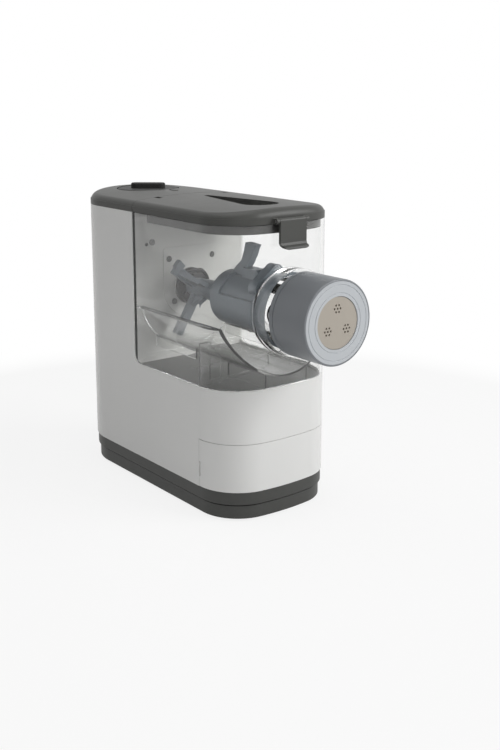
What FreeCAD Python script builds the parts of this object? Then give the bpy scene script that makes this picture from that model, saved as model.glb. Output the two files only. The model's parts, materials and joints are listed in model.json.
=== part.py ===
import FreeCAD, Part
import math
import os

# Countertop pasta maker. Millimetres, +Z up, front towards -Y.
# The origin is under the middle of the footprint, on the surface it stands on.

# Whole object
BODY_WIDTH = 135.0
BODY_DEPTH = 278.1
NOZZLE_REACH = 64.9
FRONT_RADIUS = 237.0
FRONT_CORNER = 44.0
REAR_CORNER = 58.4

# Heights of the stacked housing
FOOT_HEIGHT = 2.0
BASE_HEIGHT = 26.0
TUB_HEIGHT = 96.2
WINDOW_HEIGHT = 149.5
RIM_HEIGHT = 5.5
CROWN_HEIGHT = 8.5
CROWN_SAG = 4.5
CROWN_EDGE = 8.0
CROWN_STEP = 0.3

# Walls
SHELL_WALL = 2.5
BASE_WALL = 4.0
CHAMBER_WALL = 2.5
LID_WALL = 2.6
PLATE = 2.5

# Fits
CLEAR = 0.3
RUN = 0.05
SEAM = 0.4

# Depth of the drive tower behind the chamber
TOWER_DEPTH = 121.5
WINDOW_CORNER = 8.0

# Drive axis above the surface
SHAFT_HEIGHT = 194.2

# Trough and mixing paddle
TROUGH_RADIUS = 59.5
TROUGH_WALL = 2.1
LEDGE_HEIGHT = 181.0
PADDLE_CLEAR = 3.0
PADDLE_NECK_R = 8.5
PADDLE_ROOT_R = 11.6
PADDLE_HUB_R = 26.2

# Extruder
SCREW_CORE_R = 11.0
SCREW_PITCH = 20.0
TUBE_BORE_R = 24.0
TUBE_WALL = 8.5
COLLAR_WALL = 7.0
COLLAR_LENGTH = 14.7
TUBE_FLANGE = 2.7
CAP_RADIUS = 38.2
CAP_LENGTH = 46.8
CAP_FRONT_WALL = 4.9
DISC_OPENING_R = 23.0
FACE_RING_R = 36.4
FACE_RING_THICK = 1.5
FACE_GROOVE_R = 33.2
DISC_FLANGE = 7.7

# Gears
MODULE_1 = 1.25
TEETH_PINION = 12
TEETH_WHEEL = 4 * TEETH_PINION
MODULE_2 = 1.5
TEETH_SMALL = 14
TEETH_OUTPUT = 3 * TEETH_SMALL
GEAR_WIDTH_1 = 8.0
GEAR_WIDTH_2 = 10.0
BACKLASH = 0.30

# Shafts and bearings
OUTPUT_SHAFT_R = 6.0
BEARING_WALL = 5.0
GEAR_PIN_R = 3.0
MOTOR_SHAFT_R = 4.0
MOTOR_BEARING_WALL = 5.0
MOTOR_SIZE = 70.0
ROTOR_R = 22.5
STATOR_R = 33.0
STATOR_LENGTH = 38.0

# Drawer
DRAWER_HEIGHT = 46.3
DRAWER_WRAP = 47.7
TRAY_WIDTH = 114.0
TRAY_DEPTH = 137.0
TRAY_HEIGHT = 37.0
TRAY_WALL = 2.0

# Lid, hinge and latch
HINGE_FROM_SEAM = 7.8
HINGE_PIN_R = 1.5
HINGE_SIDE = 40.0
HINGE_LUG_W = 4.0
SLOT_WIDE_R = 18.0
SLOT_TIP_R = 3.0
SLOT_WIDE_FROM_FRONT = 43.3
SLOT_REACH = 81.5
SLOT_LIP = 2.0
LID_SKIRT = 8.5
LATCH_WIDTH = 30.0
LATCH_THICK = 2.6
LATCH_DROP = 24.5
LATCH_LIP = 5.0
LATCH_CORNER = 6.0
LATCH_PIN_R = 1.2
LATCH_KNUCKLE_R = 2.6

# Knob
KNOB_FROM_REAR = 46.4
KNOB_RADIUS = 32.0
KNOB_SKIRT = 2.4
KNOB_SEAT_DROP = 3.0
GRIP_LENGTH = 36.0
GRIP_WIDTH = 12.0
GRIP_HEIGHT = 5.2
GRIP_TURN = -39.0
KNOB_SHAFT_R = 4.0

# Cord inlet
CORD_BORE_R = 3.5
GLAND_R = 8.0
GLAND_LENGTH = 16.0
GLAND_SIDE = 0.0
GLAND_HEIGHT = 48.0

# Small parts
SCREW_R = 1.5
SCREW_HEAD_R = 3.0
SCREW_HEAD = 1.6
FOOT_R = 9.0

# Places worked out from the sizes above
HALF_W = BODY_WIDTH / 2
Y_REAR = (BODY_DEPTH + NOZZLE_REACH) / 2
Y_FRONT = Y_REAR - BODY_DEPTH
Y_NOZZLE = Y_FRONT - NOZZLE_REACH
Y_TOWER = Y_REAR - TOWER_DEPTH
Z_BASE = FOOT_HEIGHT + BASE_HEIGHT
Z_TUB = Z_BASE + TUB_HEIGHT
Z_RIM = Z_TUB + WINDOW_HEIGHT
Z_SHOULDER = Z_RIM + RIM_HEIGHT
Z_CROWN = Z_SHOULDER + CROWN_HEIGHT
Z_HINGE = Z_RIM + HINGE_FROM_SEAM
ZS = SHAFT_HEIGHT
Y_HINGE = Y_TOWER - HINGE_FROM_SEAM
R_HINGE = HINGE_FROM_SEAM
R_PITCH_PINION = MODULE_1 * TEETH_PINION / 2
R_PITCH_WHEEL = MODULE_1 * TEETH_WHEEL / 2
R_PITCH_SMALL = MODULE_2 * TEETH_SMALL / 2
R_PITCH_OUTPUT = MODULE_2 * TEETH_OUTPUT / 2
Z_COMPOUND = ZS - R_PITCH_SMALL - R_PITCH_OUTPUT
Z_MOTOR = Z_COMPOUND - R_PITCH_PINION - R_PITCH_WHEEL
Y_BULK_BACK = Y_TOWER + PLATE
Y_BOX_FRONT = Y_BULK_BACK + 3.2
Y_GEAR_2 = Y_BOX_FRONT + PLATE + 2.0
Y_GEAR_1 = Y_GEAR_2 + GEAR_WIDTH_2 + 2.0
Y_BOX_BACK = Y_GEAR_1 + GEAR_WIDTH_1 + 3.5
Y_MOTOR = Y_BOX_BACK + PLATE
Y_STATOR = Y_MOTOR + 6.0
Y_STATOR_END = Y_STATOR + STATOR_LENGTH
Y_FRAME_END = Y_STATOR_END + 6.0
TUBE_R = TUBE_BORE_R + TUBE_WALL
COLLAR_IN_R = TUBE_R + 0.5
COLLAR_R = COLLAR_IN_R + COLLAR_WALL
Y_CAP_REAR = Y_NOZZLE + CAP_LENGTH
Y_CAP_WALL = Y_NOZZLE + CAP_FRONT_WALL
Y_TUBE_END = Y_CAP_WALL + CLEAR + DISC_FLANGE + CLEAR
Y_TUBE_FLANGE = Y_FRONT + CHAMBER_WALL + 3.2
Y_PADDLE_FRONT = Y_TUBE_FLANGE + 4.5
Y_CHAMBER_BACK = Y_TOWER - 1.8
Y_CHAMBER_WALL = Y_CHAMBER_BACK - CHAMBER_WALL
ARM_REACH = TROUGH_RADIUS - PADDLE_CLEAR
SOCKET_RING_R = 18.3
SOCKET_R = 14.5
Y_SOCKET = Y_TOWER - 6.9
Y_SOCKET_END = Y_BOX_FRONT - 0.6
SPIGOT_R = 7.8
Y_KNOB = Y_REAR - KNOB_FROM_REAR
R_CROWN = (HALF_W ** 2 + CROWN_SAG ** 2) / (2 * CROWN_SAG)
Z_LATCH = Z_RIM + 2.8
Y_LATCH = Y_FRONT - LATCH_KNUCKLE_R - 0.4
Z_DRAWER_TOP = Z_BASE + DRAWER_HEIGHT
Y_DRAWER_SEAM = Y_FRONT + DRAWER_WRAP
Z_DECK = Z_TUB - 2.2
Z_KNOB = Z_CROWN - KNOB_SEAT_DROP
PIECES = {}


def vec(x, y, z):
    return FreeCAD.Vector(x, y, z)


def box(x0, x1, y0, y1, z0, z1):
    return Part.makeBox(x1 - x0, y1 - y0, z1 - z0, vec(x0, y0, z0))


def rod_x(y, z, r, x0, x1):
    return Part.makeCylinder(r, x1 - x0, vec(x0, y, z), vec(1, 0, 0))


def rod_y(x, z, r, y0, y1):
    return Part.makeCylinder(r, y1 - y0, vec(x, y0, z), vec(0, 1, 0))


def rod_z(x, y, r, z0, z1):
    return Part.makeCylinder(r, z1 - z0, vec(x, y, z0), vec(0, 0, 1))


def ring_y(x, z, r_out, r_in, y0, y1):
    return rod_y(x, z, r_out, y0, y1).cut(rod_y(x, z, r_in, y0 - 1, y1 + 1))


def cone_y(z, r0, r1, y0, y1):
    return Part.makeCone(r0, r1, y1 - y0, vec(0, y0, z), vec(0, 1, 0))


def union(shapes):
    result = shapes[0].fuse(shapes[1:])
    return result.removeSplitter()


def minus(shape, tools):
    for tool in tools:
        shape = shape.cut(tool)
    return shape


def prism_yz(points, x0, x1):
    wire = Part.makePolygon([vec(x0, y, z) for y, z in points + points[:1]])
    return Part.Face(wire).extrude(vec(x1 - x0, 0, 0))


def prism_xz(points, y0, y1):
    wire = Part.makePolygon([vec(x, y0, z) for x, z in points + points[:1]])
    return Part.Face(wire).extrude(vec(0, y1 - y0, 0))


def oblong_z(x, y0, y1, width, z0, z1):
    r = width / 2
    parts = [rod_z(x, y0 + r, r, z0, z1), rod_z(x, y1 - r, r, z0, z1)]
    parts.append(box(x - r, x + r, y0 + r, y1 - r, z0, z1))
    return union(parts)


def oblong_x(x0, x1, z, width, y0, y1):
    r = width / 2
    parts = [rod_y(x0 + r, z, r, y0, y1), rod_y(x1 - r, z, r, y0, y1)]
    parts.append(box(x0 + r, x1 - r, y0, y1, z - r, z + r))
    return union(parts)


def outline(inset, z0, z1):
    """Plan outline of the housing, moved inwards by inset, as a solid from z0 to z1."""
    w = HALF_W - inset
    big = FRONT_RADIUS - inset
    corner = FRONT_CORNER - inset
    rear = REAR_CORNER - inset
    y_big = Y_FRONT + FRONT_RADIUS
    x_c = HALF_W - FRONT_CORNER
    drop = math.sqrt((FRONT_RADIUS - FRONT_CORNER) ** 2 - x_c ** 2)
    y_c = y_big - drop
    back = Y_REAR - inset
    y_r = Y_REAR - REAR_CORNER
    tilt = math.atan2(x_c, drop)
    x_t = big * math.sin(tilt)
    y_t = y_big - big * math.cos(tilt)
    half = (math.pi / 2 - tilt) / 2
    x_m = x_c + corner * math.cos(half)
    y_m = y_c - corner * math.sin(half)
    diag = rear * math.sqrt(0.5)
    x_r = HALF_W - REAR_CORNER
    edges = [
        Part.Arc(vec(-x_t, y_t, z0), vec(0, y_big - big, z0), vec(x_t, y_t, z0)).toShape(),
        Part.Arc(vec(x_t, y_t, z0), vec(x_m, y_m, z0), vec(w, y_c, z0)).toShape(),
        Part.makeLine(vec(w, y_c, z0), vec(w, y_r, z0)),
        Part.Arc(vec(w, y_r, z0), vec(x_r + diag, y_r + diag, z0), vec(x_r, back, z0)).toShape(),
        Part.makeLine(vec(x_r, back, z0), vec(-x_r, back, z0)),
        Part.Arc(vec(-x_r, back, z0), vec(-x_r - diag, y_r + diag, z0), vec(-w, y_r, z0)).toShape(),
        Part.makeLine(vec(-w, y_r, z0), vec(-w, y_c, z0)),
        Part.Arc(vec(-w, y_c, z0), vec(-x_m, y_m, z0), vec(-x_t, y_t, z0)).toShape(),
    ]
    face = Part.Face(Part.Wire(edges))
    return face.extrude(vec(0, 0, z1 - z0))


def before(y, z0, z1):
    return box(-HALF_W - 5, HALF_W + 5, Y_FRONT - 60, y, z0, z1)


def behind(y, z0, z1):
    return box(-HALF_W - 5, HALF_W + 5, y, Y_REAR + 5, z0, z1)


def crown(inset, drop, z0):
    """The domed top, moved in by inset and down by drop, rounded over at its rim, from z0 up."""
    w = HALF_W + 5
    r = R_CROWN - drop
    z_mid = Z_CROWN - R_CROWN
    z_side = z_mid + math.sqrt(r ** 2 - w ** 2)
    z_low = Z_RIM - 2 * CROWN_EDGE
    y0 = Y_FRONT - 5
    edges = [
        Part.Arc(vec(-w, y0, z_side), vec(0, y0, z_mid + r), vec(w, y0, z_side)).toShape(),
        Part.makeLine(vec(w, y0, z_side), vec(w, y0, z_low)),
        Part.makeLine(vec(w, y0, z_low), vec(-w, y0, z_low)),
        Part.makeLine(vec(-w, y0, z_low), vec(-w, y0, z_side)),
    ]
    dome = Part.Face(Part.Wire(edges)).extrude(vec(0, Y_REAR + 5 - y0, 0))
    block = outline(inset, z_low, Z_CROWN + 1).common(dome)
    rim = [e for e in block.Edges if e.BoundBox.ZMin > z_low + 1]
    block = block.makeFillet(CROWN_EDGE - drop, rim)
    return block.common(box(-w, w, y0, Y_REAR + 5, z0, Z_CROWN + 2))


def drop_z(y_tip, r_tip, y_wide, r_wide, z0, z1):
    """A teardrop column: a wide round end joined to a narrow one behind it by tangents."""
    lean = math.asin((r_wide - r_tip) / (y_tip - y_wide))
    c, s = math.cos(lean), math.sin(lean)
    right = [(r_wide * c, y_wide + r_wide * s), (r_tip * c, y_tip + r_tip * s)]
    left = [(-x, y) for x, y in reversed(right)]
    corners_xy = [vec(x, y, z0) for x, y in right + left + right[:1]]
    middle = Part.Face(Part.makePolygon(corners_xy)).extrude(vec(0, 0, z1 - z0))
    return union([rod_z(0, y_wide, r_wide, z0, z1), middle, rod_z(0, y_tip, r_tip, z0, z1)])


def screw_y(x, z, y_seat, length, way):
    """A pan-head screw along Y. Its head stands off y_seat in the direction way."""
    head = rod_y(x, z, SCREW_HEAD_R, min(y_seat, y_seat + way * SCREW_HEAD),
                 max(y_seat, y_seat + way * SCREW_HEAD))
    end = y_seat - way * length
    shank = rod_y(x, z, SCREW_R, min(y_seat, end), max(y_seat, end))
    drive = box(x - 1.8, x + 1.8, min(y_seat + way * 0.9, y_seat + way * 2),
                max(y_seat + way * 0.9, y_seat + way * 2), z - 0.35, z + 0.35)
    return union([head, shank]).cut(drive)


def gear(module, teeth, y0, width, x, z, turn, bore):
    """A spur wheel about an axis along Y, with involute flanks and a named backlash."""
    pitch = module * teeth / 2
    base = pitch * math.cos(math.radians(20))
    tip = pitch + 0.9 * module
    root = pitch - 1.3 * module
    half = math.pi / (2 * teeth) - BACKLASH / (4 * pitch)
    inv20 = math.tan(math.radians(20)) - math.radians(20)
    points = []
    for n in range(teeth):
        mid = turn + 2 * math.pi * n / teeth
        flank = []
        start = max(base, root)
        for k in range(5):
            r = start + (tip - start) * k / 4
            a = math.acos(min(1.0, base / r))
            flank.append((r, half + inv20 - (math.tan(a) - a)))
        if root < base:
            flank.insert(0, (root, half + inv20))
        for r, a in flank:
            points.append((r, mid - a))
        for r, a in reversed(flank):
            points.append((r, mid + a))
    flat = [(x + r * math.cos(a), z + r * math.sin(a)) for r, a in points]
    blank = prism_xz(flat, y0, y0 + width)
    return blank.cut(rod_y(x, z, bore, y0 - 1, y0 + width + 1))


def corners(dx, dz):
    return [(-dx, -dz), (dx, -dz), (-dx, dz), (dx, dz)]


def add(name, shape):
    PIECES[name] = shape


# Base, feet and shell

FOOT_SIDE = HALF_W - 27.5
POST_SIDE = HALF_W - 21.5
FOOT_PLACES = [(side * FOOT_SIDE, y) for y in (Y_FRONT + 38, Y_REAR - 40) for side in (-1, 1)]
POST_PLACES = [(side * POST_SIDE, y) for y in (Y_FRONT + 62, Y_REAR - 52) for side in (-1, 1)]


def make_base():
    low = outline(3.0, FOOT_HEIGHT, FOOT_HEIGHT + 0.48 * BASE_HEIGHT)
    neck = outline(4.6, FOOT_HEIGHT, Z_BASE)
    high = outline(1.0, FOOT_HEIGHT + 0.54 * BASE_HEIGHT, Z_BASE)
    tray = union([low, neck, high])
    tray = tray.cut(outline(4.6 + BASE_WALL, FOOT_HEIGHT + 3, Z_BASE + 1))
    posts = [rod_z(x, y, 6, FOOT_HEIGHT + 3, Z_BASE) for x, y in POST_PLACES]
    tray = union([tray] + posts)
    for x, y in POST_PLACES:
        tray = tray.cut(rod_z(x, y, SCREW_R + 0.1, 0, Z_BASE + 1))
        tray = tray.cut(rod_z(x, y, SCREW_HEAD_R + 0.4, 0, FOOT_HEIGHT + 2))
    for n in range(7):
        y = Y_TOWER + 22 + 8 * n
        tray = tray.cut(box(-30, 30, y, y + 3, 0, FOOT_HEIGHT + 4))
    return tray


def make_feet():
    pads = [rod_z(x, y, FOOT_R, 0, FOOT_HEIGHT) for x, y in FOOT_PLACES]
    return Part.makeCompound(pads)


def make_base_screws():
    screws = []
    for x, y in POST_PLACES:
        head = rod_z(x, y, SCREW_HEAD_R, FOOT_HEIGHT + 0.4, FOOT_HEIGHT + 2)
        shank = rod_z(x, y, SCREW_R, FOOT_HEIGHT + 2, Z_BASE - 0.5)
        screws.append(union([head, shank]))
    return Part.makeCompound(screws)


def window_prism():
    """The side-view shape of the window: open to the front and top, one round corner."""
    x0 = -HALF_W - 5
    c = WINDOW_CORNER
    far = Y_FRONT - 60
    s = c * (1 - math.sqrt(0.5))
    edges = [
        Part.makeLine(vec(x0, far, Z_TUB), vec(x0, Y_TOWER - c, Z_TUB)),
        Part.Arc(vec(x0, Y_TOWER - c, Z_TUB), vec(x0, Y_TOWER - s, Z_TUB + s),
                 vec(x0, Y_TOWER, Z_TUB + c)).toShape(),
        Part.makeLine(vec(x0, Y_TOWER, Z_TUB + c), vec(x0, Y_TOWER, Z_RIM + 30)),
        Part.makeLine(vec(x0, Y_TOWER, Z_RIM + 30), vec(x0, far, Z_RIM + 30)),
        Part.makeLine(vec(x0, far, Z_RIM + 30), vec(x0, far, Z_TUB)),
    ]
    return Part.Face(Part.Wire(edges)).extrude(vec(2 * HALF_W + 10, 0, 0))


def make_shell():
    shell = outline(0, Z_BASE, Z_RIM).cut(outline(SHELL_WALL, Z_BASE - 1, Z_RIM + 1))
    shell = shell.cut(window_prism())
    shell = shell.cut(before(Y_DRAWER_SEAM, Z_BASE - 1, Z_DRAWER_TOP))
    shell = shell.cut(rod_y(GLAND_SIDE, GLAND_HEIGHT, GLAND_R + CLEAR, Y_REAR - 9, Y_REAR + 1))
    for n in range(6):
        z = Z_TUB + 20 + 9 * n
        shell = shell.cut(oblong_x(-22, 22, z, 3.2, Y_REAR - 9, Y_REAR + 1))
    ledge = outline(SHELL_WALL, Z_DECK - 6.5, Z_DECK - 3).cut(
        outline(SHELL_WALL + 3, Z_DECK - 8, Z_DECK))
    ledge = ledge.common(before(Y_TOWER - 4, 0, Z_TUB))
    whole = union([shell, ledge])
    tower = whole.common(behind(Y_TOWER, 0, Z_RIM + 1))
    tub = whole.common(before(Y_TOWER, 0, Z_RIM + 1))
    return tower, tub


def make_deck():
    deck = outline(SHELL_WALL + CLEAR, Z_DECK - 3, Z_DECK)
    deck = deck.common(before(Y_TOWER - CLEAR, 0, Z_TUB))
    for y in (Y_FRONT + 60, Y_FRONT + 110):
        deck = deck.cut(box(-30, 30, y, y + 1.2, Z_DECK - 0.8, Z_DECK + 1))
    return deck


def make_gland():
    y1 = Y_REAR - CLEAR
    body = rod_y(GLAND_SIDE, GLAND_HEIGHT, GLAND_R, y1 - GLAND_LENGTH, y1)
    flange = rod_y(GLAND_SIDE, GLAND_HEIGHT, GLAND_R + 4,
                   Y_REAR - SHELL_WALL - 3, Y_REAR - SHELL_WALL)
    flange = flange.common(outline(SHELL_WALL, GLAND_HEIGHT - 20, GLAND_HEIGHT + 20))
    bore = rod_y(GLAND_SIDE, GLAND_HEIGHT, CORD_BORE_R, y1 - GLAND_LENGTH - 1, y1 + 1)
    return union([body, flange]).cut(bore)


def make_shell_parts():
    add("base_tray", make_base())
    add("rubber_feet", make_feet())
    add("base_screws", make_base_screws())
    tower, tub = make_shell()
    add("main_shell", tower)
    add("tub_shell", tub)
    add("chamber_deck", make_deck())
    add("cord_gland", make_gland())


# Bulkhead behind the chamber

PANEL_HALF = 31.3
PANEL_TOP = 41.0
PANEL_SCREWS = [(-24.6, 29.4), (24.6, 29.4), (-18.9, -14.2), (18.9, -14.2)]
SENSOR_BIG = (23.7 - HALF_W, 47.8)
SENSOR_SMALL = (17.2 - HALF_W, 46.2)


def make_bulkhead():
    wall = outline(SHELL_WALL + CLEAR, Z_BASE + 2.5, Z_RIM - 1.2)
    wall = wall.common(box(-HALF_W, HALF_W, Y_TOWER, Y_BULK_BACK, 0, Z_RIM))
    wall = wall.cut(rod_y(0, ZS, SOCKET_RING_R + 0.1, Y_TOWER - 1, Y_BULK_BACK + 1))
    for x, z in PANEL_SCREWS:
        wall = wall.cut(rod_y(x, ZS + z, SCREW_R + 0.1, Y_TOWER - 1, Y_BULK_BACK + 1))
    for (x, z), r in ((SENSOR_BIG, 3.2), (SENSOR_SMALL, 1.8)):
        wall = wall.cut(rod_y(x, ZS + z, r - 0.8 + 0.1, Y_TOWER - 1, Y_BULK_BACK + 1))
    return wall


def make_panel():
    y0 = Y_TOWER - 1.2
    lower = rod_y(0, ZS, PANEL_HALF, y0, Y_TOWER)
    upper = box(-PANEL_HALF, PANEL_HALF, y0, Y_TOWER, ZS, ZS + PANEL_TOP)
    long_edges = [e for e in upper.Edges if abs(e.CenterOfMass.z - ZS - PANEL_TOP) < 0.1
                  and e.Length < 2]
    upper = upper.makeFillet(4, long_edges)
    panel = union([lower, upper])
    panel = panel.cut(rod_y(0, ZS, SOCKET_RING_R + 0.1, y0 - 1, Y_TOWER + 1))
    for x, z in PANEL_SCREWS:
        panel = panel.cut(rod_y(x, ZS + z, SCREW_R + 0.1, y0 - 1, Y_TOWER + 1))
        panel = panel.cut(rod_y(x, ZS + z, SCREW_HEAD_R + 0.3, y0 - 1, y0 + 0.7))
    return panel


def make_panel_screws():
    screws = []
    for x, z in PANEL_SCREWS:
        y0 = Y_TOWER - 0.5
        head = rod_y(x, ZS + z, SCREW_HEAD_R, y0 - 0.8, y0)
        shank = rod_y(x, ZS + z, SCREW_R, y0, Y_BULK_BACK + 0.5)
        screws.append(union([head, shank]))
    return Part.makeCompound(screws)


def make_sensors():
    pins = []
    for (x, z), r in ((SENSOR_BIG, 3.2), (SENSOR_SMALL, 1.8)):
        head = rod_y(x, ZS + z, r, Y_TOWER - 0.9, Y_TOWER)
        stem = rod_y(x, ZS + z, r - 0.8, Y_TOWER, Y_BULK_BACK + 2)
        pins.append(union([head, stem]))
    return Part.makeCompound(pins)


def make_socket_ring():
    ring = ring_y(0, ZS, SOCKET_RING_R, SOCKET_R + 0.5, Y_SOCKET, Y_BULK_BACK)
    lip = ring_y(0, ZS, SOCKET_RING_R + 2.5, SOCKET_R + 0.5, Y_BULK_BACK, Y_BOX_FRONT)
    return union([ring, lip])


def make_bulkhead_parts():
    add("bulkhead", make_bulkhead())
    add("bulkhead_panel", make_panel())
    add("panel_screws", make_panel_screws())
    add("bulkhead_sensors", make_sensors())
    add("socket_ring", make_socket_ring())


# Clear mixing chamber and the extrusion tube

def make_chamber():
    z0 = Z_TUB + SEAM
    z1 = Z_RIM - CLEAR
    block = outline(0, z0, z1).common(before(Y_CHAMBER_BACK, 0, 400))
    room = outline(CHAMBER_WALL, z0 - 1, z1 + 1).common(before(Y_CHAMBER_WALL, 0, 400))
    walls = block.cut(room)
    c = WINDOW_CORNER + 1
    corner = box(-HALF_W - 5, HALF_W + 5, Y_CHAMBER_BACK - c, Y_CHAMBER_BACK + 1, z0 - 1, z0 + c)
    corner = corner.cut(rod_x(Y_CHAMBER_BACK - c, z0 + c, c, -HALF_W - 6, HALF_W + 6))
    collar = rod_y(0, ZS, COLLAR_R, Y_FRONT - COLLAR_LENGTH, Y_FRONT + CHAMBER_WALL + 2)
    collar = collar.cut(outline(CHAMBER_WALL, 0, 400))
    bead = rod_x(Y_FRONT - 0.4, Z_RIM - 15.7, 2.0, -12, 12)
    bead = bead.cut(outline(CHAMBER_WALL, 0, 400))
    chamber = walls.fuse([collar, bead])
    chamber = chamber.cut(rod_y(0, ZS, COLLAR_IN_R, Y_FRONT - 40, Y_FRONT + 20))
    chamber = chamber.cut(rod_y(0, ZS, SOCKET_RING_R + 0.5, Y_CHAMBER_WALL - 2, Y_TOWER))
    return chamber.cut(corner)


def chamber_inside(z0, z1):
    """The room between the chamber's walls, with a clearance all round."""
    room = outline(CHAMBER_WALL + CLEAR, z0, z1)
    return room.common(before(Y_CHAMBER_WALL - CLEAR, 0, 400))


def make_trough():
    inside = chamber_inside(ZS - TROUGH_RADIUS - TROUGH_WALL - 1, LEDGE_HEIGHT)
    skin = ring_y(0, ZS, TROUGH_RADIUS + TROUGH_WALL, TROUGH_RADIUS, Y_FRONT, Y_CHAMBER_WALL)
    ledge = box(-HALF_W, HALF_W, Y_FRONT - 1, Y_CHAMBER_WALL, LEDGE_HEIGHT - 2, LEDGE_HEIGHT)
    ledge = ledge.cut(rod_y(0, ZS, TROUGH_RADIUS, Y_FRONT - 2, Y_TOWER))
    trough = inside.common(skin).fuse(inside.common(ledge))
    return trough.cut(rod_y(0, ZS, COLLAR_IN_R, Y_FRONT - 40, Y_FRONT + 20))


def make_ribs():
    z0 = Z_TUB + SEAM
    outer_x = HALF_W - 25.5
    inner_x = 24
    half_t = 0.8
    cross_end = 46
    y_cross = Y_FRONT + 58.4
    y_back = y_cross + 2 * half_t
    under = chamber_inside(z0, ZS - 30)
    under = under.cut(rod_y(0, ZS, TROUGH_RADIUS + TROUGH_WALL + CLEAR, Y_FRONT - 2, Y_TOWER + 2))
    middle = inner_x - half_t - RUN
    ribs = [box(-middle, middle, y_cross, y_back, z0, ZS)]
    for side in (-1, 1):
        x = side * inner_x
        ribs.append(box(x - half_t, x + half_t, Y_FRONT, y_back, z0, ZS))
        near = side * (inner_x + half_t + RUN)
        far = side * cross_end
        ribs.append(box(min(near, far), max(near, far), y_cross, y_back, z0, ZS))
        x = side * outer_x
        ribs.append(box(x - 1, x + 1, Y_FRONT + 84, Y_CHAMBER_WALL, z0 + 13.6, ZS))
        ribs.append(box(min(x, side * HALF_W), max(x, side * HALF_W), Y_FRONT + 46.5,
                        Y_FRONT + 48.1, z0, ZS))
    return Part.makeCompound([solid for rib in ribs for solid in rib.common(under).Solids])


def make_tube():
    tube = ring_y(0, ZS, TUBE_R, TUBE_BORE_R, Y_TUBE_END, Y_TUBE_FLANGE)
    flange = ring_y(0, ZS, TUBE_R + TUBE_FLANGE, TUBE_BORE_R, Y_TUBE_FLANGE, Y_TUBE_FLANGE + 3.6)
    return union([tube, flange])


def make_collar_seal():
    return ring_y(0, ZS, TUBE_R + 3.4, TUBE_R + 0.1, Y_CAP_REAR + 0.3,
                  Y_FRONT - COLLAR_LENGTH - 0.2)


def make_chamber_parts():
    add("mixing_chamber", make_chamber())
    add("chamber_trough", make_trough())
    add("trough_ribs", make_ribs())
    add("extrusion_tube", make_tube())
    add("tube_seal", make_collar_seal())


# Mixing paddle, extruder screw and the drive

def bar_at(angle, r0, r1, width, y0, y1):
    """A flat bar standing out from the drive axis at an angle in degrees from +X."""
    bar = box(r0, r1, y0, y1, -width / 2, width / 2)
    bar.rotate(vec(0, 0, 0), vec(0, 1, 0), -angle)
    bar.translate(vec(0, 0, ZS))
    return bar


def gusset_at(angle, points, thick):
    """A flat web standing out from the drive axis; its points are (y, distance from the axis)."""
    web = prism_yz([(y, ZS + r) for y, r in points], -thick / 2, thick / 2)
    web.rotate(vec(0, 0, ZS), vec(0, 1, 0), 90 - angle)
    return web


def make_paddle():
    y_back = Y_SOCKET - 0.6
    y_arm = Y_FRONT + 135.5
    y_root = Y_FRONT + 101
    y_hub = Y_FRONT + 86.5
    y_step = Y_FRONT + 74
    y_nose = Y_PADDLE_FRONT + 2
    neck = cone_y(ZS, PADDLE_ROOT_R, PADDLE_NECK_R, y_root, y_back)
    swell = cone_y(ZS, PADDLE_HUB_R, PADDLE_ROOT_R, y_hub, y_root)
    core = rod_y(0, ZS, PADDLE_HUB_R - 3, y_nose, y_hub)
    belly = rod_y(0, ZS, PADDLE_HUB_R, y_nose, y_step).common(
        box(-40, 40, y_nose - 1, y_hub, ZS - 40, ZS + 7))
    band = rod_y(0, ZS, PADDLE_HUB_R, y_step, y_hub)
    nose = cone_y(ZS, PADDLE_HUB_R - 5.5, PADDLE_HUB_R - 3, Y_PADDLE_FRONT, y_nose)
    spigot = rod_y(0, ZS, SPIGOT_R, y_back, Y_SOCKET + 5.5)
    low = bar_at(239, 4, ARM_REACH - 5, 9, y_arm, y_arm + 5.5)
    high = bar_at(143, 4, 37, 10, y_arm, y_arm + 6)
    high_tip = bar_at(134, 30, 38.5, 8, y_arm, y_arm + 6)
    y_b = Y_FRONT + 43.7
    blade = prism_yz([(y_b + 30, ZS + 8), (y_b + 52.6, ZS + 9), (y_b + 41, ZS + 20.5),
                      (y_b + 31.3, ZS + 30.4), (y_b + 22, ZS + 38), (y_b + 18.6, ZS + 46),
                      (y_b + 15.8, ZS + ARM_REACH - 1), (y_b, ZS + ARM_REACH - 2),
                      (y_b + 15.8, ZS + 28.1), (y_b + 20, ZS + 8)], -3.5, 3.5)
    brace = prism_yz([(y_b + 18, ZS + 8), (y_b + 18, ZS + 31.7), (y_b - 3, ZS + 31.7),
                      (y_b - 12, ZS + 24), (y_b - 20, ZS + 8)], -6, 6)
    y_lug = y_b - 21.5
    lug = rod_y(-13.8, ZS + 17.8, 7, y_lug, y_lug + 11).fuse(
        [rod_y(4.5, ZS + 31.8, 7, y_lug, y_lug + 11), lug_waist(y_lug, y_lug + 11)])
    webs = [gusset_at(143, [(y_arm + 2, 4), (y_arm + 2, 34), (y_arm - 24, 8), (y_arm - 24, 4)], 5),
            gusset_at(239, [(y_arm + 2, 4), (y_arm + 2, 22), (y_arm - 12, 8), (y_arm - 12, 4)], 5)]
    paddle = union([neck, swell, core, belly, band, nose, spigot, low, high, high_tip, blade,
                    brace, lug] + webs)
    return paddle.cut(rod_y(0, ZS, SCREW_CORE_R + RUN, Y_PADDLE_FRONT - 1, Y_PADDLE_FRONT + 22))


def lug_waist(y0, y1):
    """The straight middle of the slanted lug, between its two round ends."""
    lean = math.atan2(14.0, 18.3)
    dx, dz = 7 * math.sin(lean), 7 * math.cos(lean)
    low, high = (-13.8, ZS + 17.8), (4.5, ZS + 31.8)
    return prism_xz([(low[0] + dx, low[1] - dz), (high[0] + dx, high[1] - dz),
                     (high[0] - dx, high[1] + dz), (low[0] - dx, low[1] + dz)], y0, y1)


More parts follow.
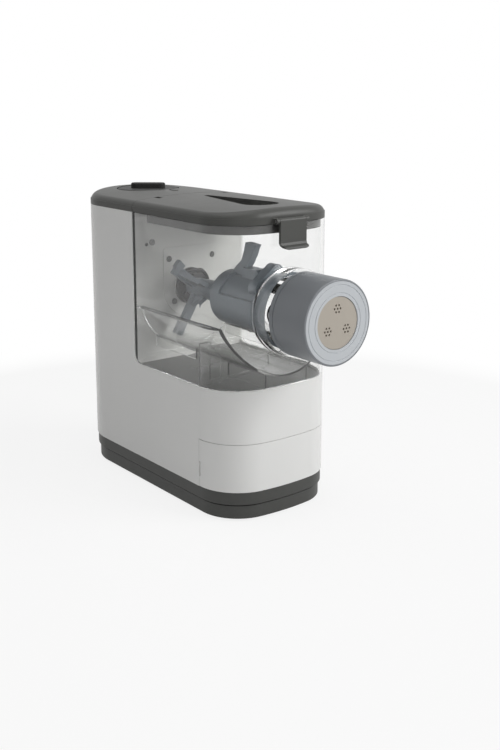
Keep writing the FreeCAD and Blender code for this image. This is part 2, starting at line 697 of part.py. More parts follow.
def make_screw():
    y0 = Y_TUBE_END + 8
    core = rod_y(0, ZS, SCREW_CORE_R, y0, Y_PADDLE_FRONT + 21.5)
    turns = 3
    length = Y_PADDLE_FRONT - 1.5 - y0 - 4
    helix = Part.makeHelix(length / turns, length, SCREW_CORE_R - 1)
    flight = Part.makePolygon([
        vec(SCREW_CORE_R - 1, 0, -2), vec(TUBE_BORE_R - 1.2, 0, -1.2),
        vec(TUBE_BORE_R - 1.2, 0, 1.2), vec(SCREW_CORE_R - 1, 0, 2),
        vec(SCREW_CORE_R - 1, 0, -2)])
    sweep = Part.Wire(helix).makePipeShell([flight], True, True)
    sweep.rotate(vec(0, 0, 0), vec(1, 0, 0), -90)
    sweep.translate(vec(0, y0 + 2, ZS))
    return union([core, sweep])


def make_drive_socket():
    body = rod_y(0, ZS, SOCKET_R, Y_SOCKET, Y_SOCKET_END)
    body = body.cut(rod_y(0, ZS, SPIGOT_R + 0.1, Y_SOCKET - 1, Y_SOCKET + 6))
    body = body.cut(rod_y(0, ZS, OUTPUT_SHAFT_R + RUN, Y_SOCKET + 5, Y_SOCKET_END + 1))
    for n in range(6):
        a = math.radians(60 * n + 30)
        body = body.cut(rod_y(11.2 * math.cos(a), ZS + 11.2 * math.sin(a), 1.6,
                              Y_SOCKET - 1, Y_SOCKET + 5))
    return body


def make_output_gear():
    wheel = gear(MODULE_2, TEETH_OUTPUT, Y_GEAR_2, GEAR_WIDTH_2, 0, ZS, -math.pi / 2,
                 OUTPUT_SHAFT_R + RUN)
    for n in range(6):
        a = math.radians(60 * n)
        wheel = wheel.cut(rod_y(18 * math.cos(a), ZS + 18 * math.sin(a), 5,
                                Y_GEAR_2 - 1, Y_GEAR_2 + 20))
    return wheel


def make_compound():
    shift = math.pi / TEETH_SMALL
    small = gear(MODULE_2, TEETH_SMALL, Y_GEAR_2, GEAR_WIDTH_2 + 2, 0, Z_COMPOUND,
                 math.pi / 2 + shift, GEAR_PIN_R + RUN)
    large = gear(MODULE_1, TEETH_WHEEL, Y_GEAR_1, GEAR_WIDTH_1, 0, Z_COMPOUND,
                 -math.pi / 2, GEAR_PIN_R + RUN)
    for n in range(6):
        a = math.radians(60 * n)
        large = large.cut(rod_y(18 * math.cos(a), Z_COMPOUND + 18 * math.sin(a), 4.5,
                                Y_GEAR_1 - 1, Y_GEAR_1 + 20))
    return union([small, large])


def make_motor_pinion():
    shift = math.pi / TEETH_PINION
    return gear(MODULE_1, TEETH_PINION, Y_GEAR_1 - 0.5, GEAR_WIDTH_1 + 1, 0, Z_MOTOR,
                math.pi / 2 + shift, MOTOR_SHAFT_R + RUN)


BOX_HALF = 40.0
BOX_LOW = Z_MOTOR - 18.0
BOX_HIGH = ZS + 38.0
BOSS_SIDE = BOX_HALF - 5.5
BOSS_LOW = (ZS + Z_COMPOUND) / 2
BOX_BOSS = [(-BOSS_SIDE, BOSS_LOW), (BOSS_SIDE, BOSS_LOW), (-BOSS_SIDE, BOX_HIGH - 6),
            (BOSS_SIDE, BOX_HIGH - 6)]


def make_gearbox_front():
    plate = box(-BOX_HALF, BOX_HALF, Y_BOX_FRONT, Y_BOX_BACK - CLEAR, BOX_LOW, BOX_HIGH)
    room = box(-BOX_HALF + 3, BOX_HALF - 3, Y_BOX_FRONT + PLATE, Y_BOX_BACK, BOX_LOW + 3,
               BOX_HIGH - 3)
    case = plate.cut(room)
    bosses = [rod_y(x, z, 4.5, Y_BULK_BACK, Y_BOX_BACK - CLEAR) for x, z in BOX_BOSS]
    case = union([case] + bosses)
    hole = rod_y(0, ZS, OUTPUT_SHAFT_R + BEARING_WALL + RUN, Y_BOX_FRONT - 1, Y_BOX_FRONT + 5)
    pin = rod_y(0, Z_COMPOUND, GEAR_PIN_R + RUN, Y_BOX_FRONT + 1, Y_BOX_FRONT + 5)
    case = minus(case, [hole, pin])
    for x, z in BOX_BOSS:
        case = case.cut(rod_y(x, z, SCREW_R + 0.1, Y_BOX_FRONT + 4, Y_BOX_BACK))
    return case


def make_gearbox_rear():
    plate = box(-BOX_HALF, BOX_HALF, Y_BOX_BACK, Y_MOTOR, BOX_LOW, BOX_HIGH)
    tools = [rod_y(0, ZS, OUTPUT_SHAFT_R + BEARING_WALL + RUN, Y_BOX_BACK - 1, Y_MOTOR + 1),
             rod_y(0, Z_MOTOR, R_PITCH_PINION + 3, Y_BOX_BACK - 1, Y_MOTOR + 1),
             rod_y(0, Z_COMPOUND, GEAR_PIN_R + RUN, Y_BOX_BACK - 1, Y_MOTOR + 1)]
    for x, z in BOX_BOSS:
        tools.append(rod_y(x, z, SCREW_R + 0.1, Y_BOX_BACK - 1, Y_MOTOR + 1))
    return minus(plate, tools)


def make_box_screws():
    return Part.makeCompound([screw_y(x, z, Y_MOTOR, 16, 1) for x, z in BOX_BOSS])


def make_bearings():
    front = ring_y(0, ZS, OUTPUT_SHAFT_R + BEARING_WALL, OUTPUT_SHAFT_R + RUN,
                   Y_BOX_FRONT, Y_BOX_FRONT + PLATE)
    rear = ring_y(0, ZS, OUTPUT_SHAFT_R + BEARING_WALL, OUTPUT_SHAFT_R + RUN,
                  Y_BOX_BACK, Y_MOTOR)
    return Part.makeCompound([front, rear])


def make_motor_frame(y0, y1):
    h = MOTOR_SIZE / 2
    frame = box(-h, h, y0, y1, Z_MOTOR - h, Z_MOTOR + h)
    uprights = [e for e in frame.Edges if abs(e.Length - (y1 - y0)) < 0.01]
    frame = frame.makeFillet(10, uprights)
    frame = frame.cut(rod_y(0, Z_MOTOR, MOTOR_SHAFT_R + MOTOR_BEARING_WALL + RUN, y0 - 1, y1 + 1))
    for x, z in corners(h - 6, h - 6):
        frame = frame.cut(rod_y(x, Z_MOTOR + z, SCREW_R + 0.1, y0 - 1, y1 + 1))
    for n in range(4):
        a = math.radians(90 * n)
        x, z = 18 * math.cos(a), 18 * math.sin(a)
        frame = frame.cut(rod_y(x, Z_MOTOR + z, 5, y0 - 1, y1 + 1))
    return frame


def make_stator():
    return ring_y(0, Z_MOTOR, STATOR_R, ROTOR_R + 0.5, Y_STATOR, Y_STATOR_END)


def make_motor_bolts():
    h = MOTOR_SIZE / 2 - 6
    length = Y_FRAME_END - Y_MOTOR - 0.5
    bolts = [screw_y(x, Z_MOTOR + z, Y_FRAME_END, length, 1) for x, z in corners(h, h)]
    return Part.makeCompound(bolts)


def make_motor_bearings():
    r = MOTOR_SHAFT_R + MOTOR_BEARING_WALL
    front = ring_y(0, Z_MOTOR, r, MOTOR_SHAFT_R + RUN, Y_MOTOR, Y_STATOR)
    rear = ring_y(0, Z_MOTOR, r, MOTOR_SHAFT_R + RUN, Y_STATOR_END, Y_FRAME_END)
    return Part.makeCompound([front, rear])


def make_rotor():
    core = rod_y(0, Z_MOTOR, ROTOR_R, Y_STATOR + 2, Y_STATOR_END - 2)
    return core.cut(rod_y(0, Z_MOTOR, MOTOR_SHAFT_R + RUN, Y_STATOR, Y_STATOR_END))


def make_fan():
    y0 = Y_FRAME_END + 2.4
    hub = rod_y(0, Z_MOTOR, 9, y0, y0 + 7)
    plate = rod_y(0, Z_MOTOR, 27, y0, y0 + 1.5)
    blades = []
    for n in range(9):
        blade = box(8, 26.5, y0, y0 + 7, -0.7, 0.7)
        blade.rotate(vec(0, 0, 0), vec(0, 1, 0), 40 * n)
        blade.translate(vec(0, 0, Z_MOTOR))
        blades.append(blade)
    fan = union([hub, plate] + blades)
    return fan.cut(rod_y(0, Z_MOTOR, MOTOR_SHAFT_R + RUN, y0 - 1, y0 + 8))


def make_drive_parts():
    add("mixing_paddle", make_paddle())
    add("extruder_screw", make_screw())
    add("drive_socket", make_drive_socket())
    add("output_shaft", rod_y(0, ZS, OUTPUT_SHAFT_R, Y_SOCKET + 6.3, Y_MOTOR + 1))
    add("output_gear", make_output_gear())
    add("compound_gear", make_compound())
    add("gear_pin", rod_y(0, Z_COMPOUND, GEAR_PIN_R, Y_BOX_FRONT + 1.2, Y_MOTOR))
    add("gearbox_front", make_gearbox_front())
    add("gearbox_rear", make_gearbox_rear())
    add("gearbox_screws", make_box_screws())
    add("shaft_bearings", make_bearings())
    add("motor_frame_front", make_motor_frame(Y_MOTOR, Y_STATOR))
    add("motor_frame_rear", make_motor_frame(Y_STATOR_END, Y_FRAME_END))
    add("motor_stator", make_stator())
    add("motor_bolts", make_motor_bolts())
    add("motor_bearings", make_motor_bearings())
    add("motor_rotor", make_rotor())
    add("motor_shaft", rod_y(0, Z_MOTOR, MOTOR_SHAFT_R, Y_GEAR_1 - 0.5, Y_FRAME_END + 9.4))
    add("motor_pinion", make_motor_pinion())
    add("cooling_fan", make_fan())


# Rear cover, knob, switch and board

BOARD_Z = Z_RIM - 13.0
BOARD_HALF = HALF_W - 21.5
BOARD_POSTS = [(side * (BOARD_HALF - 8), y) for y in (Y_KNOB - 38, Y_KNOB + 14) for side in (-1, 1)]
SWITCH_SIZE = 24.0


def cap_block(inset, drop, z0):
    rim = outline(inset, z0, Z_SHOULDER - drop)
    return rim.fuse(crown(inset + CROWN_STEP, drop, z0))


def make_rear_cover():
    body = cap_block(0, 0, Z_RIM)
    body = body.common(behind(Y_HINGE, 0, 400))
    body = body.cut(rod_x(Y_HINGE, Z_HINGE, R_HINGE + SEAM, -HALF_W - 5, HALF_W + 5))
    room = cap_block(3.0, LID_WALL, Z_RIM - 1).common(behind(Y_TOWER + 3.5, 0, 400))
    seat = rod_z(0, Y_KNOB, KNOB_RADIUS + 4, Z_KNOB - 2.8, Z_CROWN - 1.8)
    posts = [rod_z(x, y, 3, BOARD_Z + 1.6, Z_RIM + 1) for x, y in BOARD_POSTS]
    posts = posts + [rod_z(x, y, 3, Z_RIM, Z_CROWN).common(body) for x, y in BOARD_POSTS]
    cover = body.cut(room).fuse([seat.common(body)] + posts)
    lug_set = []
    for side in (-1, 1):
        x0 = side * HINGE_SIDE - HINGE_LUG_W / 2
        lug = rod_x(Y_HINGE, Z_HINGE, 2.4, x0, x0 + HINGE_LUG_W)
        arm = box(x0, x0 + HINGE_LUG_W, Y_HINGE, Y_TOWER + 2, Z_HINGE - 2.4,
                  Z_HINGE + 1.2)
        lug_set = lug_set + [lug, arm]
    cover = cover.fuse(lug_set)
    tools = [rod_z(0, Y_KNOB, KNOB_RADIUS + 0.8, Z_KNOB, Z_CROWN + 5),
             rod_z(0, Y_KNOB, KNOB_SHAFT_R + RUN, Z_KNOB - 10, Z_CROWN),
             rod_x(Y_HINGE, Z_HINGE, HINGE_PIN_R + RUN, -HINGE_SIDE - 9, HINGE_SIDE + 9)]
    for x, y in BOARD_POSTS:
        tools.append(rod_z(x, y, 1.1, BOARD_Z, BOARD_Z + 9))
    return minus(cover, tools)


def make_hinge_pins():
    pins = [rod_x(Y_HINGE, Z_HINGE, HINGE_PIN_R, side * HINGE_SIDE - 6,
                  side * HINGE_SIDE + 6) for side in (-1, 1)]
    return Part.makeCompound(pins)


def make_switch():
    h = SWITCH_SIZE / 2
    top = Z_KNOB - 2.8 - CLEAR
    case = box(-h, h, Y_KNOB - h, Y_KNOB + h, BOARD_Z + 1.6, top)
    return case.cut(rod_z(0, Y_KNOB, KNOB_SHAFT_R + RUN, BOARD_Z + 6, top + 1))


def make_board():
    board = box(-BOARD_HALF, BOARD_HALF, Y_KNOB - 44, Y_KNOB + 20, BOARD_Z, BOARD_Z + 1.6)
    for x, y in BOARD_POSTS:
        board = board.cut(rod_z(x, y, 1.3, BOARD_Z - 1, BOARD_Z + 3))
    return board


def make_board_screws():
    screws = []
    for x, y in BOARD_POSTS:
        head = rod_z(x, y, 2.4, BOARD_Z - 1.4, BOARD_Z)
        shank = rod_z(x, y, 1.0, BOARD_Z, BOARD_Z + 8)
        screws.append(union([head, shank]))
    return Part.makeCompound(screws)


def make_board_parts():
    parts = [rod_z(-34, Y_KNOB - 20, 5, BOARD_Z + 1.6, BOARD_Z + 11)]
    parts.append(box(-26, -16, Y_KNOB - 30, Y_KNOB - 18, BOARD_Z + 1.6, BOARD_Z + 9))
    parts.append(box(24, 34, Y_KNOB - 24, Y_KNOB - 6, BOARD_Z + 1.6, BOARD_Z + 8))
    parts.append(box(20, 33, Y_KNOB - 2, Y_KNOB + 10, BOARD_Z + 1.6, BOARD_Z + 7))
    return Part.makeCompound(parts)


def make_lid_switch():
    y1 = Y_TOWER + 3.5 + 7
    return box(44, 56, Y_TOWER + PLATE, y1, Z_RIM - 22, Z_RIM - 2)


def make_knob_skirt():
    z0 = Z_KNOB + CLEAR
    low = Part.makeCylinder(KNOB_RADIUS, 1.6, vec(0, Y_KNOB, z0))
    slope = Part.makeCone(KNOB_RADIUS, KNOB_RADIUS - 2.5, KNOB_SKIRT - 1.6,
                          vec(0, Y_KNOB, z0 + 1.6), vec(0, 0, 1))
    shaft = rod_z(0, Y_KNOB, KNOB_SHAFT_R, BOARD_Z + 6.4, z0 + 1)
    return union([low, slope, shaft])


def make_knob_grip():
    z0 = Z_KNOB + CLEAR + KNOB_SKIRT
    r = GRIP_WIDTH / 2
    h = GRIP_LENGTH / 2 - r
    parts = [rod_z(side * h, Y_KNOB, r, z0, z0 + GRIP_HEIGHT) for side in (-1, 1)]
    parts.append(box(-h, h, Y_KNOB - r, Y_KNOB + r, z0, z0 + GRIP_HEIGHT))
    grip = union(parts)
    tops = [e for e in grip.Edges if abs(e.CenterOfMass.z - z0 - GRIP_HEIGHT) < 0.01]
    grip = grip.makeFillet(1.6, tops)
    grip = grip.cut(box(-h - r - 1, -h + 2, Y_KNOB - 0.6, Y_KNOB + 0.6, z0 + GRIP_HEIGHT - 0.5,
                        z0 + GRIP_HEIGHT + 1))
    grip.rotate(vec(0, Y_KNOB, z0), vec(0, 0, 1), GRIP_TURN)
    return grip


def make_mark():
    plug = oblong_z(5, Y_KNOB - KNOB_RADIUS - 15, Y_KNOB - KNOB_RADIUS - 3, 6, Z_RIM, Z_CROWN + 2)
    return plug.common(crown(CROWN_STEP, -0.5, Z_RIM)).cut(crown(CROWN_STEP, -RUN, Z_RIM))


def make_cover_parts():
    add("rear_cover", make_rear_cover())
    add("hinge_pins", make_hinge_pins())
    add("mode_switch", make_switch())
    add("control_board", make_board())
    add("board_screws", make_board_screws())
    add("board_components", make_board_parts())
    add("lid_switch", make_lid_switch())
    add("knob_skirt", make_knob_skirt())
    add("knob_grip", make_knob_grip())
    add("cover_mark", make_mark())


# Lid and its latch

def make_lid():
    body = cap_block(0, 0, Z_RIM)
    ahead = body.common(before(Y_HINGE, 0, 400))
    roll = body.common(rod_x(Y_HINGE, Z_HINGE, R_HINGE, -HALF_W - 5, HALF_W + 5))
    room = cap_block(3.0, LID_WALL, Z_RIM - 1).common(before(Y_HINGE - 8, 0, 400))
    y_wide = Y_FRONT + SLOT_WIDE_FROM_FRONT
    y_tip = y_wide + SLOT_REACH
    lip = drop_z(y_tip, SLOT_TIP_R + SLOT_LIP, y_wide, SLOT_WIDE_R + SLOT_LIP, Z_RIM - 5, Z_CROWN)
    lip = lip.common(crown(CROWN_STEP, 0.4, Z_RIM - 6))
    x_lug = LATCH_WIDTH / 2 + CLEAR
    lugs = []
    for side in (-1, 1):
        a = side * x_lug
        b = side * (x_lug + 3.2)
        lo, hi = min(a, b), max(a, b)
        lugs.append(rod_x(Y_LATCH, Z_LATCH, LATCH_KNUCKLE_R, lo, hi))
        lugs.append(box(lo, hi, Y_LATCH, Y_FRONT + 3, Z_LATCH - 2.4, Z_LATCH + 2.4))
    lid = ahead.fuse(roll).cut(room)
    lid = lid.fuse([lip] + lugs)
    tools = [drop_z(y_tip, SLOT_TIP_R, y_wide, SLOT_WIDE_R, Z_RIM - 8, Z_CROWN + 5),
             rod_x(Y_LATCH, Z_LATCH, LATCH_PIN_R + RUN, -x_lug - 5, x_lug + 5)]
    for side in (-1, 1):
        x0 = side * HINGE_SIDE - HINGE_LUG_W / 2 - CLEAR
        x1 = x0 + HINGE_LUG_W + 2 * CLEAR
        tools.append(rod_x(Y_HINGE, Z_HINGE, 3.0, x0, x1))
        tools.append(box(x0, x1, Y_HINGE - 3.0, Y_TOWER + 3, Z_RIM - 1, Z_CROWN + 3))
        tools.append(rod_x(Y_HINGE, Z_HINGE, HINGE_PIN_R + RUN, side * HINGE_SIDE - 6.5,
                           side * HINGE_SIDE + 6.5))
    return minus(lid, tools)


def make_lid_seal():
    ring = outline(CHAMBER_WALL + 1.2, Z_RIM - LID_SKIRT, Z_RIM)
    ring = ring.cut(outline(CHAMBER_WALL + 3.4, Z_RIM - LID_SKIRT - 1, Z_RIM + 1))
    ring = ring.common(before(Y_HINGE - 16, 0, 400))
    cross = box(-HALF_W, HALF_W, Y_HINGE - 18.2, Y_HINGE - 16, Z_RIM - LID_SKIRT, Z_RIM)
    cross = cross.common(outline(CHAMBER_WALL + 1.2, Z_RIM - LID_SKIRT, Z_RIM))
    return union([ring, cross])


def make_latch():
    y_face = Y_LATCH - 0.3
    x1 = LATCH_WIDTH / 2
    knuckle = rod_x(Y_LATCH, Z_LATCH, LATCH_KNUCKLE_R, -x1, x1)
    t = LATCH_THICK
    y_out = y_face - t
    z_low = Z_LATCH - LATCH_DROP
    side = [(y_out, Z_LATCH), (y_face, Z_LATCH), (y_face, z_low + 5), (y_face - 0.7, z_low + 2.6),
            (y_face - 2.4, z_low + 0.7), (y_out - LATCH_LIP, z_low - 0.4),
            (y_out - LATCH_LIP - 0.9, z_low + 0.6), (y_out - LATCH_LIP, z_low + 1.9),
            (y_face - 3.8, z_low + 3.2), (y_out, z_low + 5.4)]
    c = LATCH_CORNER
    z_end = z_low - 0.4
    front = union([box(-x1, x1, y_out - LATCH_LIP - 2, y_face + 1, z_end + c, Z_LATCH + 1),
                   oblong_x(-x1, x1, z_end + c, 2 * c, y_out - LATCH_LIP - 2, y_face + 1)])
    strap = prism_yz(side, -x1, x1).common(front)
    latch = union([knuckle, strap])
    return latch.cut(rod_x(Y_LATCH, Z_LATCH, LATCH_PIN_R + RUN, -x1 - 1, x1 + 1))


def make_lid_parts():
    add("lid_shell", make_lid())
    add("lid_seal", make_lid_seal())
    add("latch_clip", make_latch())
    x = LATCH_WIDTH / 2 + CLEAR + 3.2
    add("latch_pin", rod_x(Y_LATCH, Z_LATCH, LATCH_PIN_R, -x, x))


# Drawer under the chamber

def make_drawer_bay():
    x_in = TRAY_WIDTH / 2 + 0.6
    floor = outline(SHELL_WALL + CLEAR, Z_BASE, Z_BASE + 2.2)
    floor = floor.common(box(-HALF_W, HALF_W, Y_DRAWER_SEAM + 1, Y_TOWER - CLEAR, 0, 400))
    bay = [floor]
    for side in (-1, 1):
        lo = min(side * x_in, side * (HALF_W - SHELL_WALL - CLEAR))
        hi = max(side * x_in, side * (HALF_W - SHELL_WALL - CLEAR))
        bay.append(box(lo, hi, Y_DRAWER_SEAM + 3, Y_TOWER - CLEAR, Z_BASE, Z_BASE + 16))
    return union(bay)


def make_drawer_front():
    z0 = Z_BASE + SEAM
    z1 = Z_DRAWER_TOP - SEAM
    skin = outline(0, z0, z1).cut(outline(SHELL_WALL, z0 - 1, z1 + 1))
    skin = skin.common(before(Y_DRAWER_SEAM - SEAM, 0, 400))
    for side in (-1, 1):
        x0 = side * HALF_W
        skin = skin.cut(rod_z(x0, Y_DRAWER_SEAM - SEAM, 2.0, z0 + 10, z0 + 24))
    return skin


def make_drawer_tray():
    z0 = Z_BASE + 2.2 + 0.6
    h = TRAY_WIDTH / 2
    y1 = Y_FRONT + TRAY_DEPTH
    outer = outline(SHELL_WALL, z0, z0 + TRAY_HEIGHT)
    outer = outer.common(box(-h, h, Y_FRONT - 10, y1, 0, 400))
    inner = outline(SHELL_WALL + TRAY_WALL, z0 + TRAY_WALL, z0 + TRAY_HEIGHT + 5)
    inner = inner.common(box(-h + TRAY_WALL, h - TRAY_WALL, Y_FRONT - 10, y1 - TRAY_WALL, 0, 400))
    tray = outer.cut(inner)
    rack = box(-h + TRAY_WALL, h - TRAY_WALL, Y_FRONT + 70, Y_FRONT + 72, z0, z0 + 22)
    return union([tray, rack])


def make_drawer_parts():
    add("drawer_bay", make_drawer_bay())
    add("drawer_front", make_drawer_front())
    add("drawer_tray", make_drawer_tray())


# Nozzle cap and the shaping disc

def make_cap():
    bore_r = TUBE_R + 0.6
    body = rod_y(0, ZS, CAP_RADIUS, Y_NOZZLE, Y_CAP_REAR)
    edge = [e for e in body.Edges if abs(e.CenterOfMass.y - Y_NOZZLE) < 0.01
            and e.Length > 100]
    body = body.makeFillet(1.2, edge)
    groove = ring_y(0, ZS, CAP_RADIUS + 1, CAP_RADIUS - 0.6, Y_CAP_REAR - 5.2, Y_CAP_REAR - 4.4)
    tools = [rod_y(0, ZS, bore_r, Y_CAP_WALL, Y_CAP_REAR + 1),
             rod_y(0, ZS, DISC_OPENING_R + CLEAR, Y_NOZZLE - 1, Y_CAP_WALL + 1),
             rod_y(0, ZS, FACE_RING_R + 0.1, Y_NOZZLE - 1, Y_NOZZLE + FACE_RING_THICK),
             groove]
    return minus(body, tools)


def make_face_ring():
    ring = ring_y(0, ZS, FACE_RING_R, DISC_OPENING_R + CLEAR, Y_NOZZLE, Y_NOZZLE + FACE_RING_THICK)
    for r in (FACE_GROOVE_R, DISC_OPENING_R + 3.2):
        ring = ring.cut(ring_y(0, ZS, r + 0.3, r - 0.3, Y_NOZZLE - 1, Y_NOZZLE + 0.5))
    return ring


def make_disc():
    y0 = Y_CAP_WALL + CLEAR
    flange = rod_y(0, ZS, TUBE_R, y0, y0 + DISC_FLANGE)
    boss = rod_y(0, ZS, DISC_OPENING_R, Y_NOZZLE + 0.8, y0)
    disc = union([flange, boss])
    disc = disc.cut(rod_y(0, ZS, TUBE_BORE_R - 1, y0 + 3, y0 + 12))
    holes = []
    for k in range(3):
        a = math.radians(90 + 120 * k)
        cx, cz = 12.5 * math.cos(a), 12.5 * math.sin(a)
        holes.append(rod_y(cx, ZS + cz, 1.0, Y_NOZZLE, y0 + 12))
        for n in range(6):
            b = math.radians(60 * n)
            holes.append(rod_y(cx + 3.4 * math.cos(b), ZS + cz + 3.4 * math.sin(b), 1.0,
                               Y_NOZZLE, y0 + 12))
    return disc.cut(Part.makeCompound(holes))


def make_nozzle_parts():
    add("nozzle_cap", make_cap())
    add("cap_face_ring", make_face_ring())
    add("shaping_disc", make_disc())


def main():
    os.makedirs("parts", exist_ok=True)
    make_shell_parts()
    make_bulkhead_parts()
    make_chamber_parts()
    make_drive_parts()
    make_cover_parts()
    make_lid_parts()
    make_drawer_parts()
    make_nozzle_parts()
    for name, shape in PIECES.items():
        shape.exportStep("parts/" + name + ".step")
        print(name, len(shape.Solids), round(shape.Volume, 1), shape.isValid())


main()
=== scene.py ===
import json
import math

import bmesh
import bpy
from bpy.props import FloatProperty, FloatVectorProperty, PointerProperty
from mathutils import Matrix, Vector


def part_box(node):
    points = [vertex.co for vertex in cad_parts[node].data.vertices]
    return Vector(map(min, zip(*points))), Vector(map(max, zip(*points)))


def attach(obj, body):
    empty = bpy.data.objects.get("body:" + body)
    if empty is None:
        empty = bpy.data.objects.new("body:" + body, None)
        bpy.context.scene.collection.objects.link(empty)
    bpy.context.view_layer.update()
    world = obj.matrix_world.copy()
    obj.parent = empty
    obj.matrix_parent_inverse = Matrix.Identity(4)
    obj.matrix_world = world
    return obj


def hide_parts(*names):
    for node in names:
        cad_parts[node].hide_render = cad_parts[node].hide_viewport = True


bl_info = {
    "name": "Pasta maker dressing",
    "version": (1, 0, 0),
    "blender": (4, 5, 0),
    "location": "3D View > Sidebar > Pasta maker",
    "description": "Finishes and fine shapes of a countertop pasta maker on its measured frame",
    "category": "Object",
}

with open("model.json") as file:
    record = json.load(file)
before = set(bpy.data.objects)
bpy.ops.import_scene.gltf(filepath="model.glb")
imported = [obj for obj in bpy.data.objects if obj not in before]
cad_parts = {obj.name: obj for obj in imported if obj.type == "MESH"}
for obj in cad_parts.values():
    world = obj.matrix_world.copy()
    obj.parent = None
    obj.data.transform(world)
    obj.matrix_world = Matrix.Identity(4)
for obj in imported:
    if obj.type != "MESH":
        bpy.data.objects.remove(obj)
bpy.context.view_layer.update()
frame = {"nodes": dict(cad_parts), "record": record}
NODES = frame["nodes"]
SLOT_OF = {s["node"]: s["material_slot"] for s in frame["record"]["subparts"]}
BODY_OF = {n: b for b, names in frame["record"]["behaviour"]["bodies"].items() for n in names}


# Values that a user would change

def length(name, description, default):
    return FloatProperty(name=name, description=description, default=default, min=0.0,
                         unit="LENGTH", subtype="DISTANCE", precision=5)


def tint(name, description, default):
    return FloatVectorProperty(name=name, description=description, default=default, size=3,
                               min=0.0, max=1.0, subtype="COLOR")


def share(name, description, default):
    return FloatProperty(name=name, description=description, default=default, min=0.0, max=1.0,
                         subtype="FACTOR")


class PastaHousingSettings(bpy.types.PropertyGroup):
    white: tint("Shell white", "Gloss white of the shell and the drawer front", (0.80, 0.80, 0.785))
    white_rough: share("Shell roughness", "How matte the white shell is", 0.24)
    base: tint("Base grey", "Dark grey of the two-tier base", (0.050, 0.051, 0.047))
    pale: tint("Pale grey", "Bulkhead, drawer tray and other pale mouldings", (0.57, 0.57, 0.555))
    edge: length("Edge radius", "Rounding along the shell's cut edges", 0.0008)
    base_edge: length("Base edge radius", "Rounding along the base's tiers", 0.0011)


class PastaTopSettings(bpy.types.PropertyGroup):
    dark: tint("Lid grey", "Dark satin grey of the lid, the cover and the latch",
               (0.074, 0.075, 0.070))
    knob: tint("Knob black", "Near black of the selector knob", (0.024, 0.024, 0.023))
    rough: share("Lid roughness", "How matte the lid is", 0.40)
    edge: length("Lid edge radius", "Rounding along the lid's rim", 0.0016)


class PastaChamberSettings(bpy.types.PropertyGroup):
    clear: tint("Clear plastic", "Body colour of the clear chamber", (0.965, 0.967, 0.963))
    rough: share("Clear roughness", "How matte the clear plastic is", 0.012)
    ior: FloatProperty(name="Refractive index", description="Bending of light in the plastic",
                       default=1.42, min=1.0, max=2.0)
    edge: length("Clear edge radius", "Rounding along the chamber's edges", 0.0006)


class PastaDriveSettings(bpy.types.PropertyGroup):
    paddle: tint("Paddle grey", "Blue grey of the paddle and the extrusion tube",
                 (0.145, 0.165, 0.185))
    paddle_rough: share("Paddle roughness", "How matte the paddle is", 0.36)
    nylon: tint("Gear nylon", "Natural colour of the moulded gears", (0.72, 0.68, 0.56))
    steel: tint("Steel", "Bare turned steel", (0.55, 0.55, 0.56))


class PastaNozzleSettings(bpy.types.PropertyGroup):
    cap: tint("Cap grey", "Blue grey of the nozzle cap", (0.215, 0.228, 0.245))
    ring: tint("Ring grey", "Light grey of the ring on the cap's face", (0.53, 0.555, 0.58))
    disc: tint("Disc beige", "Beige grey of the shaping disc", (0.43, 0.39, 0.335))
    edge: length("Cap edge radius", "Rounding along the cap's rims", 0.0009)


class PastaStageSettings(bpy.types.PropertyGroup):
    floor: tint("Floor", "Colour of the floor", (0.90, 0.90, 0.90))
    floor_size: length("Floor size", "Width of the floor", 9.0)
    key: FloatProperty(name="Key light", description="Power of the light on the front",
                       default=44.0, min=0.0)
    top: FloatProperty(name="Top light", description="Power of the light from above",
                       default=10.0, min=0.0)
    side: FloatProperty(name="Side light", description="Power of the light on the left side",
                        default=2.0, min=0.0)
    ambient: FloatProperty(name="Ambient", description="Strength of the even light all round",
                           default=0.17, min=0.0)


# Fixed measures, in metres and degrees

JOINT_TOLERANCE = 0.0001
WELD = 0.000004
FLAT_ANGLE = 0.6
SMOOTH_ANGLE = 40.0
SHARP_ANGLE = 34.0
FLOOR_DROP = 0.0004
FLOOR_FADE = (0.17, 0.60)
PAPER_WHITE = 0.84
FINE_EDGES = {"drive_panel": 0.00035, "black_ring": 0.0005, "sensor_pins": 0.0003,
              "clear_ribs": 0.0004, "tube_body": 0.0006, "collar_seal": 0.0005,
              "paddle_body": 0.0011, "socket_hub": 0.0006, "lid_skirt": 0.0005,
              "latch_strap": 0.0009, "knob_body": 0.0012, "knob_bar": 0.0004,
              "face_ring": 0.00025, "disc_body": 0.0002}
LAMPS = {"Key": ((1.5, -1.9, 1.5), (0.0, 0.0, 0.15), (1.6, 1.4)),
         "Top": ((-0.2, 0.1, 1.9), (0.0, 0.0, 0.2), (1.5, 1.5)),
         "Side": ((-0.75, -1.15, 0.55), (-0.05, -0.08, 0.15), (0.7, 0.9))}


# Node groups shared by the materials

def new_group(name, inputs, outputs):
    tree = bpy.data.node_groups.new(name, "ShaderNodeTree")
    for label, kind, value in inputs:
        socket = tree.interface.new_socket(label, in_out="INPUT", socket_type=kind)
        if value is not None:
            socket.default_value = value
    for label, kind in outputs:
        tree.interface.new_socket(label, in_out="OUTPUT", socket_type=kind)
    start = tree.nodes.new("NodeGroupInput")
    end = tree.nodes.new("NodeGroupOutput")
    start.location = (-900, 0)
    end.location = (500, 0)
    return tree, start, end


def node(tree, kind, x=0, y=0, **values):
    made = tree.nodes.new(kind)
    made.location = (x, y)
    for key, value in values.items():
        if key in made.inputs:
            made.inputs[key].default_value = value
        else:
            setattr(made, key, value)
    return made


def join(tree, out, into):
    tree.links.new(out, into)


